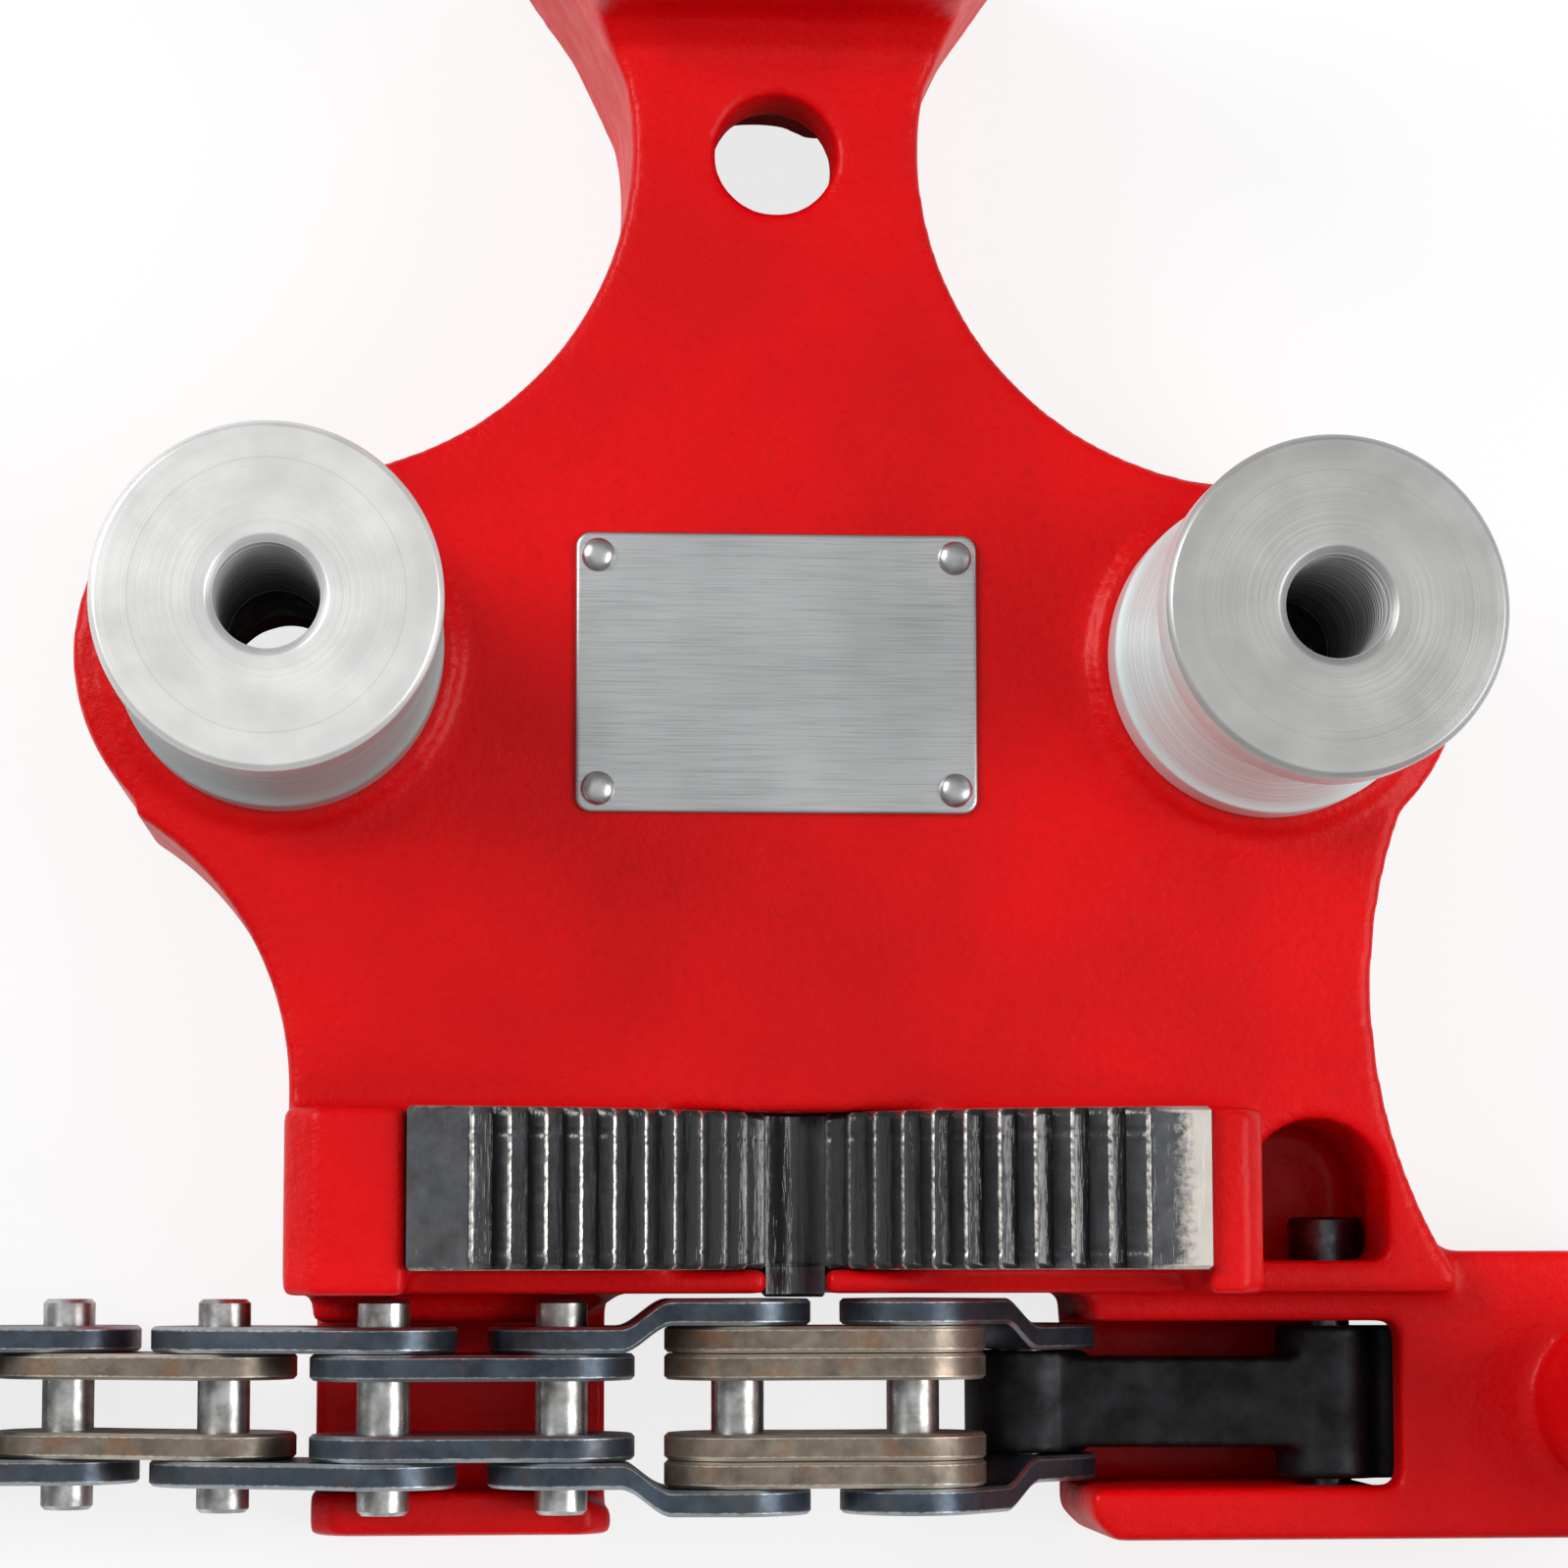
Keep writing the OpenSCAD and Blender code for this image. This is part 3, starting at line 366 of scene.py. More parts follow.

# %% [markdown]
# ## Oiled jaw steel and chain plates
# The jaw is blackened and wet with oil, and only the crests of its teeth are rubbed to bare steel. The chain
# plates are blued by heat treatment, some of them have gone brown with rust, and all shine along their rims.
# Worn edges could be found by a Pointiness or Bevel node, but those depend on the mesh or slow the render.
# These finishes read how worn each point is from a number that the mesh carries, broken up by noise so that
# no line is even. A number below zero is painted shade: it darkens the steel towards black at the foot and on
# the steep outer face of a tooth and in the jaw's trough. The oil is a coat over the steel, with runs down
# the teeth in its own bump.

# %% Jaw and chain steel
def worn_steel(name, skin, skin_two, bare, rust, roughness, wear_start, pit_mm, rust_share, oil=0.0,
               metallic=0.6):
    """Blackened or blued steel: to the eye dark and mottled, with bright broken rims and brown patches."""
    material, tree, shader, place = finish(name, {
        "Coat Weight": oil, "Coat Roughness": 0.12, "Coat IOR": 1.45})
    # real pits are about 0.3 mm across; the specks are 1.2 mm, as coarse as they need to be to show
    patch, speck, stain = (
        add(tree, "ShaderNodeTexNoise", {"Vector": place, "Scale": grains(size_mm), "Detail": detail,
                                         "Roughness": rough})
        for size_mm, detail, rough in ((6, 4, 0.6), (1.2, 3, 0.6), (8, 4, 0.65)))
    mottle = add(tree, "ShaderNodeMapRange", {"Value": patch, "From Min": 0.35, "From Max": 0.65})
    colour = add(tree, "ShaderNodeMix", {0: mottle, 6: tint(skin), 7: tint(skin_two)}, data_type="RGBA")
    rusty = add(tree, "ShaderNodeMapRange", {
        "Value": stain, "From Min": 0.52, "From Max": 0.68, "To Max": rust_share})
    colour = add(tree, "ShaderNodeMix", {0: rusty, 6: colour.outputs[2], 7: tint(rust)}, data_type="RGBA")

    wear_and_painted_light = add(tree, "ShaderNodeAttribute", attribute_name="wear_and_painted_light").outputs["Fac"]
    uneven = add(tree, "ShaderNodeMapRange", {
        "Value": speck, "From Min": 0.25, "From Max": 0.75, "To Min": -0.14, "To Max": 0.14})
    rubbed = add(tree, "ShaderNodeMath", {0: wear_and_painted_light, 1: uneven}, operation="ADD")
    rubbed = add(tree, "ShaderNodeMapRange", {
        "Value": rubbed, "From Min": wear_start, "From Max": wear_start + 0.3})
    # painted shade: a wear number below zero darkens the colour towards black, at the teeth's feet and in the
    # trough
    painted_shade = add(tree, "ShaderNodeMapRange", {"Value": wear_and_painted_light, "From Min": 0, "From Max": -1})
    colour = add(tree, "ShaderNodeMix", {0: painted_shade, 6: colour.outputs[2], 7: tint("060606")}, data_type="RGBA")
    colour = add(tree, "ShaderNodeMix", {0: rubbed, 6: colour.outputs[2], 7: tint(bare)}, data_type="RGBA")

    metal = add(tree, "ShaderNodeMapRange", {"Value": rubbed, "To Min": metallic, "To Max": 1.0})
    rough = add(tree, "ShaderNodeMapRange", {
        "Value": patch, "From Min": 0.3, "From Max": 0.7,
        "To Min": roughness - 0.08, "To Max": roughness + 0.12})
    rough = add(tree, "ShaderNodeMath", {0: rubbed, 1: 0.05, 2: rough}, operation="MULTIPLY_ADD")
    soft = add(tree, "ShaderNodeBump", {"Height": patch, "Distance": 4 * pit_mm * MM, "Strength": 0.4})
    pits = add(tree, "ShaderNodeBump", {
        "Height": speck, "Distance": pit_mm * MM, "Strength": 0.6, "Normal": soft})
    plug(tree, shader, {
        "Base Color": colour.outputs[2], "Metallic": metal, "Roughness": rough, "Normal": pits})
    if oil:
        long = add(tree, "ShaderNodeVectorMath", {0: place, 1: (1, 0.12, 1)}, operation="MULTIPLY")
        runs = add(tree, "ShaderNodeTexNoise", {
            "Vector": long, "Scale": grains(1.6), "Detail": 3, "Roughness": 0.6})
        runs = add(tree, "ShaderNodeBump", {
            "Height": runs, "Distance": 0.5 * MM, "Strength": 0.8, "Normal": soft})
        plug(tree, shader, {"Coat Normal": runs})
    return material


# oil over a black skin: dark teeth with small wet glints, bare bright crests and painted shade at their feet
jaw_steel = worn_steel("oiled_black_jaw_steel", "505256", "313235", "D2CCC3", "3B2A1D", 0.32, 0.42, 0.03,
                       0.2, oil=0.9, metallic=0.55)
print("made", jaw_steel.name)

# %% The chain's two steels
# heat blueing: cool dark blue-grey sides with thin silver rims
blued_plate = worn_steel("blued_chain_plate", "46525E", "2E3640", "AEB4B8", "57483B", 0.34, 0.45, 0.04, 0.4)
# a film of rust: dull grey-brown sides under the same bright rims
brown_plate = worn_steel("browned_chain_plate", "8A7E70", "5F574E", "C4BCB0", "80593A", 0.36, 0.45, 0.05, 0.8)
print("made", blued_plate.name, "and", brown_plate.name)

# %% [markdown]
# ## Grip plastic
# The crank's grip is moulded black nylon. Its mould was eroded by sparks, which leaves a fine even pebble
# that takes the shine off the plastic. An image of such a grain could be used, but one noise can drive the
# colour, the gloss and the bump alike, so that they agree and nothing has to be unwrapped.

# %% Grip plastic
def grip_plastic():
    """Moulded nylon: to the eye an even matt black with a soft light along its edges."""
    material, tree, shader, place = finish("moulded_black_grip", {"IOR": 1.46})
    # the real pebble is about 0.1 mm across; 0.7 mm is as coarse as it needs to be to show
    grain = add(tree, "ShaderNodeTexNoise", {"Vector": place, "Scale": grains(0.7), "Detail": 2})
    colour = add(tree, "ShaderNodeMix", {0: grain, 6: tint("1A1A1B"), 7: tint("232325")}, data_type="RGBA")
    rough = add(tree, "ShaderNodeMapRange", {
        "Value": grain, "From Min": 0.3, "From Max": 0.7, "To Min": 0.48, "To Max": 0.6})
    pebble = add(tree, "ShaderNodeBump", {"Height": grain, "Distance": 0.03 * MM, "Strength": 0.5})
    plug(tree, shader, {"Base Color": colour.outputs[2], "Roughness": rough, "Normal": pebble})
    return material


grip_black = grip_plastic()
print("made", grip_black.name)

# %% [markdown]
# ## Making mesh pieces
# Every finished piece is a plain mesh at the origin, because its place is in its points. Pieces could be
# joined from Blender's own cubes and cylinders, but lists of points keep to the CAD's sizes and can carry
# numbers of their own. One function turns points and faces into an object, merges doubled points, makes the
# faces look outward and shades them smooth with sharp edges kept. A list of wear values may go with the
# points: one for bare metal and for a roller's bore, which is painted light; zero for the plain skin; and
# minus one for painted shade on the jaw and for a roller's waist, whose tints are painted light and shade.

# %% Mesh helpers
MERGE_WITHIN = 0.001 * MM


def mesh_piece(name, points, faces, material, wear_and_painted_light=None, sharp_deg=32):
    """An object from points in millimetres; wear is one number a point."""
    mesh = bpy.data.meshes.new(name)
    mesh.from_pydata([(x * MM, y * MM, z * MM) for x, y, z in points], [], faces)
    if wear_and_painted_light is not None:
        mesh.attributes.new("wear_and_painted_light", "FLOAT", "POINT").data.foreach_set("value", wear_and_painted_light)
    piece = bpy.data.objects.new(name, mesh)
    bpy.context.scene.collection.objects.link(piece)
    tidy_mesh(piece, sharp_deg)
    mesh.materials.clear()
    mesh.materials.append(material)
    return piece


def tidy_mesh(piece, sharp_deg=32):
    """Merges doubles, turns the faces outward and marks the edges that stay sharp."""
    work = bmesh.new()
    work.from_mesh(piece.data)
    bmesh.ops.remove_doubles(work, verts=work.verts, dist=MERGE_WITHIN)
    bmesh.ops.recalc_face_normals(work, faces=work.faces)
    for edge in work.edges:
        edge.smooth = len(edge.link_faces) == 2 and edge.calc_face_angle(0) < math.radians(sharp_deg)
    for face in work.faces:
        face.smooth = True
    work.to_mesh(piece.data)
    work.free()


print("points closer than", MERGE_WITHIN / MM, "mm are merged")


# %% Placing and baking
def settle(piece, body, *nodes, slot=None):
    """Rides on its body and stands for its CAD nodes; the slot is not used."""
    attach(piece, body)
    if nodes:
        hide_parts(*nodes)
    print(piece.name, len(piece.data.polygons), "faces on", body)
    return piece


def baked(piece, name):
    """The piece with its modifiers made real, as a plain mesh of the given name."""
    graph = bpy.context.evaluated_depsgraph_get()
    graph.update()
    mesh = bpy.data.meshes.new_from_object(piece.evaluated_get(graph))
    mesh.name = name
    plain = bpy.data.objects.new(name, mesh)
    bpy.context.scene.collection.objects.link(plain)
    bpy.data.objects.remove(piece)
    return plain


# %% [markdown]
# ## Cast and forged pieces from the CAD
# A casting has no sharp edge: the mould rounds every corner by a millimetre or two. Modelling each fillet by
# hand would take long, and bevels fail where faces meet at odd angles. A voxel remesh of a copy turns the
# body into an even skin, and a few smoothing passes melt the corners as the mould does. A decimation then
# removes points from flat ground. The CAD gives the casting as three blocks that only touch, so the arm and
# the horns are first sunk into the body.

# %% Soft-cornered copies
BODY_FRONT, BODY_RIGHT, SUNK, NEAR = -108.0, 116.0, 1.2, 0.01


def sink(verts):
    """Points on the faces where a block meets the body go a little way into it, so that the skins unite."""
    for vert in verts:
        x, y = vert.co.x / MM, vert.co.y / MM
        if abs(x - BODY_RIGHT) < NEAR and y > BODY_FRONT - NEAR:
            vert.co.x -= SUNK * MM
        if abs(y - BODY_FRONT) < NEAR and x < BODY_RIGHT + NEAR:
            vert.co.y += SUNK * MM


def softened(nodes, name, voxel_mm, passes, keep, material):
    """One soft skin over copies of the nodes; the first is the body that the others are sunk into."""
    mesh = bpy.data.meshes.new(name + "_work")
    work = bmesh.new()
    for node in nodes:
        before = len(work.verts)
        work.from_mesh(frame["nodes"][node].data)
        work.verts.ensure_lookup_table()
        if node != nodes[0]:
            sink(work.verts[before:])
    work.to_mesh(mesh)
    work.free()
    piece = bpy.data.objects.new(name + "_work", mesh)
    bpy.context.scene.collection.objects.link(piece)
    tidy_mesh(piece)
    remesh = piece.modifiers.new("skin", "REMESH")
    remesh.mode = "VOXEL"
    remesh.voxel_size = voxel_mm * MM
    smooth = piece.modifiers.new("melt", "SMOOTH")
    smooth.factor = 0.5
    smooth.iterations = passes
    thin = piece.modifiers.new("thin", "DECIMATE")
    thin.ratio = keep
    plain = baked(piece, name)
    tidy_mesh(plain, sharp_deg=60)
    plain.data.materials.clear()
    plain.data.materials.append(material)
    for face in plain.data.polygons:
        face.material_index = 0
    return plain


print("blocks are sunk by", SUNK, "mm")

# %% Casting, lever and crank
blocks = ("base_casting", "base_arm", "base_horns")
base = softened(blocks, "base_red_casting", 1.1, 10, 0.3, enamel)
settle(base, "root", *blocks, slot="red_paint")
lever = softened(("tension_lever",), "lever_forging", 0.7, 4, 0.4, forged_metal)
settle(lever, "lever", "tension_lever", slot="forged_black")
crank = softened(("crank_arm",), "crank_forging", 0.8, 6, 0.35, forged_metal)
settle(crank, "crank", "crank_arm", slot="forged_black")

# %% [markdown]
# ## Turned pieces
# Rollers, pins, collars and the grip are solids of revolution. A Screw modifier could spin a profile, but
# plain code gives control over the seam: the last column of faces joins the first, and the points on the axis
# become one pole.

# %% Lathe
ON_AXIS = 1e-6


def lathe(name, profile, centre, material, steps=96, axis="Z", wear_of=None):
    """Spins (radius, height) pairs about an axis through centre; the profile runs from end to end."""
    points, faces, wear_and_painted_light = [], [], []
    for r, h in profile:
        for k in range(steps):
            a = math.tau * k / steps
            u, v = r * math.cos(a), r * math.sin(a)
            offset = (u, v, h) if axis == "Z" else (u, h, -v)
            points.append(tuple(c + o for c, o in zip(centre, offset)))
            wear_and_painted_light.append(wear_of(r, h) if wear_of else 0.0)
    rows = len(profile)
    closed = profile[0][0] > ON_AXIS and profile[-1][0] > ON_AXIS
    for i in range(rows if closed else rows - 1):
        j = (i + 1) % rows
        for k in range(steps):
            m = (k + 1) % steps
            faces.append((i * steps + k, i * steps + m, j * steps + m, j * steps + k))
    return mesh_piece(name, points, faces, material, wear_and_painted_light if wear_of else None)


def rounded(corners, radius, steps=3):
    """Rounds each inner corner of an open profile with a short arc of points."""
    out = [corners[0]]
    for before, here, after in zip(corners, corners[1:], corners[2:]):
        p, q, s = Vector(before), Vector(here), Vector(after)
        cut = min(radius, (p - q).length * 0.45, (s - q).length * 0.45)
        start, end = q + (p - q).normalized() * cut, q + (s - q).normalized() * cut
        for i in range(steps + 1):
            t = i / steps
            out.append(tuple((1 - t) ** 2 * start + 2 * t * (1 - t) * q + t * t * end))
    return out + [corners[-1]]


print("points on a rounded corner:", len(rounded([(0, 0), (1, 0), (1, 1)], 0.2)) - 2)

# %% [markdown]
# ## Rollers
# Two grooved rollers stand on spigots at the sides. Each has flat turned faces, narrow flanges with broken
# edges, a deep round waist and a bore that widens at the foot. The waist could be cut from a cylinder with
# a boolean, but that leaves uneven faces that show in a shiny metal. One spun profile gives them all: the
# waist is a half sine between the flanges, as in the CAD.

# %% Rollers
ROLLER_R, ROLLER_H, WAIST_R, BORE_R, ROLLER_FLOOR = 27.5, 62.0, 19.0, 8.25, 52.05
FLANGE, FLANGE_EDGE, LEAD_IN, FACE_EDGE, SEAT_STEP, SEAT_DEEP = 10.0, 0.8, 1.3, 0.9, 3.2, 12.2


def roller_profile():
    """From the bore over the top face, down the waist and back under the foot to the bore."""
    rim, lip, seam = ROLLER_R - 1, FLANGE - FLANGE_EDGE, ROLLER_H - 2 * FLANGE
    waist = []
    for i in range(33):
        u = i / 32
        waist.append((rim - (rim - WAIST_R) * math.sin(math.pi * u), ROLLER_H - FLANGE - seam * u))
    top = rounded([(BORE_R, seam), (BORE_R, ROLLER_H - LEAD_IN), (BORE_R + LEAD_IN, ROLLER_H),
                   (ROLLER_R - FACE_EDGE, ROLLER_H), (ROLLER_R, ROLLER_H - FACE_EDGE),
                   (ROLLER_R, ROLLER_H - lip), waist[0]], 0.35)
    low = rounded([waist[-1], (ROLLER_R, lip), (ROLLER_R, FACE_EDGE), (ROLLER_R - FACE_EDGE, 0),
                   (BORE_R + SEAT_STEP, 0), (BORE_R + SEAT_STEP, SEAT_DEEP), (BORE_R, SEAT_DEEP),
                   (BORE_R, seam)], 0.35)
    face_width = ROLLER_R - BORE_R - LEAD_IN - FACE_EDGE
    face = [(BORE_R + LEAD_IN + t * face_width, ROLLER_H) for t in (0.25, 0.5, 0.75)]
    split = next(i for i, p in enumerate(top) if p[0] > ROLLER_R - 2)
    return top[:split] + face + top[split:-1] + waist + low[1:-1]


def roller_wear(r, h):
    """One in the bore, zero on the faces and minus one on the waist and the flanges' sides."""
    if r < BORE_R + 0.2:
        return 1.0
    return -1.0 if 0.5 < h < ROLLER_H - FACE_EDGE - 0.05 and r > WAIST_R - 1 else 0.0


for side, sign, slot in (("left", -1, "turned_steel_light"), ("right", 1, "turned_steel_dark")):
    roller = lathe("roller_turned_" + side, roller_profile(), (sign * ROLLER_X, 0, ROLLER_FLOOR),
                   roller_steels[side], 160, wear_of=roller_wear)
    settle(roller, f"roller_{side}_body", f"roller_{side}", slot=slot)

# %% [markdown]
# ## Plates with chamfered edges
# The nameplate, the jaw and the chain plates are all flat outlines with a thickness and broken edges. A Bevel
# modifier would round every edge alike and give no wear value. Here an outline is drawn at several levels:
# smaller at each outer face and full a chamfer's width inside it. The rings between them are the chamfers,
# which carry the wear; two more rings close beside them end it, so that the middle of the edge stays dark.

# %% Chamfered plate
FACE_RUB, EDGE_RUB, SIDE_RUB = 0.85, 0.7, 0.08
RUB_WIDTH, FADE_WIDTH = 0.5, 0.6


def inset(outline, distance):
    """Each corner moved inward along the mean of its edges' normals; the outline runs anticlockwise."""
    out = []
    for i, here in enumerate(outline):
        p, q, s = Vector(outline[i - 1]), Vector(here), Vector(outline[(i + 1) % len(outline)])
        a, b = (q - p).normalized(), (s - q).normalized()
        mean = Vector((-a.y - b.y, a.x + b.x))
        scale = distance / max(0.35, mean.length * 0.5)
        out.append(tuple(q + mean.normalized() * min(scale, distance * 1.6)))
    return out


def plate_shape(outline, thickness, chamfer):
    """Points, faces and wear of a plate with its outline in u and v and its thickness along w."""
    if sum(a[0] * b[1] - b[0] * a[1] for a, b in zip(outline, outline[1:] + outline[:1])) < 0:
        outline = outline[::-1]
    small, n = inset(outline, chamfer), len(outline)
    inner = inset(small, RUB_WIDTH)
    fade = chamfer + min(FADE_WIDTH, (thickness - 2 * chamfer) * 0.25)
    half = [(inner, 0, 0.0), (small, 0, FACE_RUB), (outline, chamfer, EDGE_RUB), (outline, fade, SIDE_RUB)]
    levels = half + [(ring, thickness - w, rub_and_shade) for ring, w, rub_and_shade in reversed(half)]
    points = [(u, v, w) for ring, w, _ in levels for u, v in ring]
    wear_and_painted_light = [rub_and_shade for ring, _, rub_and_shade in levels for _ in ring]
    faces = []
    for i in range(len(levels) - 1):
        for k in range(n):
            m = (k + 1) % n
            faces.append((i * n + k, i * n + m, (i + 1) * n + m, (i + 1) * n + k))
    faces.append(tuple(range(n)))
    faces.append(tuple(range((len(levels) - 1) * n, len(levels) * n)))
    return points, faces, wear_and_painted_light


def arc(cx, cy, r, start, end, steps):
    """Points on an arc, from one angle in degrees to another."""
    angles = [math.radians(start + (end - start) * i / steps) for i in range(steps + 1)]
    return [(cx + r * math.cos(a), cy + r * math.sin(a)) for a in angles]


print("faces of a square plate:", len(plate_shape([(0, 0), (9, 0), (9, 9), (0, 9)], 3, 0.5)[1]))

# %% [markdown]
# ## Nameplate
# The plate is left bare: it is only brushed metal with rounded corners, held by four rivets. A scaled cube
# would have square corners, so the plate is an outline of four arcs, made thick by the same function as the
# jaw and the chain.

# %% Nameplate
DECK_Z, PLATE_W, PLATE_L, PLATE_T, PLATE_Y = 50.0, 68.5, 48.0, 1.0, -3.0
PLATE_CORNER, PLATE_EDGE = 2.6, 0.28
half_w, half_l = PLATE_W / 2 - PLATE_CORNER, PLATE_L / 2 - PLATE_CORNER
outline = []
for right, far, start in ((1, 1, 0), (-1, 1, 90), (-1, -1, 180), (1, -1, 270)):
    outline += arc(right * half_w, far * half_l, PLATE_CORNER, start, start + 90, 6)
points, faces, _ = plate_shape(outline, PLATE_T, PLATE_EDGE)
points = [(u, v + PLATE_Y, w + DECK_Z) for u, v, w in points]
nameplate = mesh_piece("nameplate_brushed", points, faces, plate_metal, sharp_deg=50)
settle(nameplate, "root", "nameplate", slot="brushed_plate")

# %% [markdown]
# ## Geometry Nodes for what repeats
# Rivets, teeth, chain plates and the grip's rings repeat by a rule. An Array modifier repeats along a line
# only, and a loop in the script hides the rule in numbers. A node tree holds it openly, with named inputs
# for the sizes, and the modifier copies one shape along it. The result is baked into a plain mesh, so
# nothing stays live. Three helpers keep this short: one makes the tree with its inputs, one ends it, and
# one fills the inputs by their identifiers and bakes.

# %% Rule helpers
SOCKETS = {"float": "NodeSocketFloat", "int": "NodeSocketInt", "object": "NodeSocketObject",
           "material": "NodeSocketMaterial"}


def rule(name, **inputs):
    """A node tree with Geometry in and out and the named inputs; returns it and its input sockets."""
    tree = bpy.data.node_groups.new(name, "GeometryNodeTree")
    tree.interface.new_socket(name="Geometry", in_out="INPUT", socket_type="NodeSocketGeometry")
    tree.interface.new_socket(name="Geometry", in_out="OUTPUT", socket_type="NodeSocketGeometry")
    for key, kind in inputs.items():
        tree.interface.new_socket(name=key, in_out="INPUT", socket_type=SOCKETS[kind])
    return tree, add(tree, "NodeGroupInput").outputs


def end_rule(tree, geometry, material):
    """Ends a rule: instances become real and take the finish."""
    real = add(tree, "GeometryNodeRealizeInstances", {0: geometry})
    dressed = add(tree, "GeometryNodeSetMaterial", {"Geometry": real, "Material": material})
    add(tree, "NodeGroupOutput", {0: dressed})


def grow(name, start, tree, sharp_deg=32, **values):
    """Bakes the rule on the start piece's mesh."""
    modifier = start.modifiers.new("rule", "NODES")
    modifier.node_group = tree
    for item in tree.interface.items_tree:
        if item.in_out == "INPUT" and item.name in values:
            modifier[item.identifier] = values[item.name]
    plain = baked(start, name)
    tidy_mesh(plain, sharp_deg)
    return plain


print("kinds of input a rule can have:", sorted(SOCKETS))

# %% [markdown]
# ## Rivets of the nameplate
# The rivets have low domed heads, one near each corner of the plate. One head is turned on the lathe, and
# the rule sets it at the corners of a rectangle: a two by two grid gives the four places, and Instance on
# Points sets a head on each. Four copies placed by hand would look the same, but the grid keeps them square
# when a size changes.

# %% Rivets
def corner_rule():
    """The head that comes in is set at the four corners of a rectangle."""
    tree, given = rule("rivets_at_corners", Width="float", Length="float", Middle_Y="float", Height="float",
                       Finish="material")
    grid = add(tree, "GeometryNodeMeshGrid", {
        "Size X": given["Width"], "Size Y": given["Length"], "Vertices X": 2, "Vertices Y": 2})
    offset = add(tree, "ShaderNodeCombineXYZ", {"Y": given["Middle_Y"], "Z": given["Height"]})
    placed = add(tree, "GeometryNodeSetPosition", {"Geometry": grid, "Offset": offset})
    heads = add(tree, "GeometryNodeInstanceOnPoints", {"Points": placed, "Instance": given["Geometry"]})
    end_rule(tree, heads, given["Finish"])
    return tree


HEAD_R, HEAD_H, HEAD_FOOT, HEAD_SUNK, RIVETS_W, RIVETS_L = 2.9, 1.7, 0.25, 0.05, 61.0, 40.0
dome = [(0, HEAD_H)]
for i in range(1, 10):
    a = math.pi / 2 * i / 10
    dome.append((HEAD_R * math.sin(a), HEAD_H * math.cos(a) ** 0.8))
dome += [(HEAD_R, HEAD_FOOT), (HEAD_R, -HEAD_SUNK), (0, -HEAD_SUNK)]
head = lathe("rivet_head_work", dome, (0, 0, 0), rivet_metal, 32)
rivets = grow("nameplate_rivet_heads", head, corner_rule(), Width=RIVETS_W * MM, Length=RIVETS_L * MM,
              Middle_Y=PLATE_Y * MM, Height=(DECK_Z + PLATE_T) * MM, Finish=rivet_metal)
settle(rivets, "root", "nameplate_rivets", slot="rivet")

# %% [markdown]
# ## Toothed jaw
# The jaw's face is two arcs that fall to a trough, each cut into ten even steps with a broached tooth at
# both ends of every step. Its body is one chamfered plate whose arcs run at the teeth's root, and a channel
# about 3 mm deep runs along the trough. An array bent by a curve would shear the teeth, so the rule turns
# each one about the arc's centre and mirrors the row to the other side. One tooth is a ridge with a
# slightly uneven crest, rubbed bare along its edge. A short tongue carries the trough forward over the
# ledge of the casting, and the top corner of the right end is ground bright.

# %% Jaw sizes
JAW_X, JAW_W, JAW_FRONT, JAW_DEPTH, JAW_TOP, JAW_THICK = 3.5, 131.0, -104.0, 26.5, 78.0, 11.0
ARC_R, ARC_START, ARC_END, STEPS, TOOTH_D, LAND = 69.0, 8.0, 59.6, 10, 2.2, 10.4
ARC_DX = JAW_W / 2 - LAND
ARC_CX = ARC_DX + ARC_R * math.sin(math.radians(ARC_START))
ARC_CZ = JAW_TOP - ARC_R * math.cos(math.radians(ARC_START))
STEP = (ARC_END - ARC_START) / STEPS


def on_arc(angle, r):
    """The point (x, z) of the right arc at an angle from the top and at a radius."""
    a = math.radians(angle)
    return ARC_CX - r * math.sin(a), ARC_CZ + r * math.cos(a)


# the channel's right side, as distances from the middle and depths below the trough
TROUGH_X, TROUGH_Z = on_arc(ARC_END, ARC_R)
CHANNEL = [(4.4, 0.28), (2.6, 1.7), (0.8, 3.1)]
TROUGH_CUT = 1.0
print("trough at", round(TROUGH_X, 1), round(TROUGH_Z, 1), "and a tooth every", round(STEP, 2), "degrees")


# %% Jaw body
def jaw_outline():
    """The jaw seen from the front: two arcs at the teeth's root, the channel and the underside."""
    face = [(JAW_W / 2, JAW_TOP - JAW_THICK), (JAW_W / 2, JAW_TOP), (ARC_DX + 0.6, JAW_TOP)]
    face += [on_arc(ARC_START + STEP * (0.3 + i * 0.5), ARC_R - TOOTH_D) for i in range(2 * STEPS)]
    face += [(TROUGH_X, TROUGH_Z - TROUGH_CUT)]
    face += [(x, TROUGH_Z - TROUGH_CUT - dip) for x, dip in CHANNEL]
    under = [on_arc(ARC_START + 11 * i, ARC_R - JAW_THICK) for i in range(5)]
    left = [(-x, z) for x, z in reversed(face)]
    low = [(-x, z) for x, z in under] + [(0, TROUGH_Z - JAW_THICK)] + list(reversed(under))
    return face + left + low


def jaw_wear_and_shade(u, v, rub_and_shade):
    """Bright on the ground corner, darkened in the trough as painted shade, and a little rubbed on the other
    edges.
    """
    if u > JAW_W / 2 - GROUND and v > JAW_TOP - GROUND:
        return 1.0
    return -0.75 if abs(u) < TROUGH_X + 0.5 else rub_and_shade * 0.62


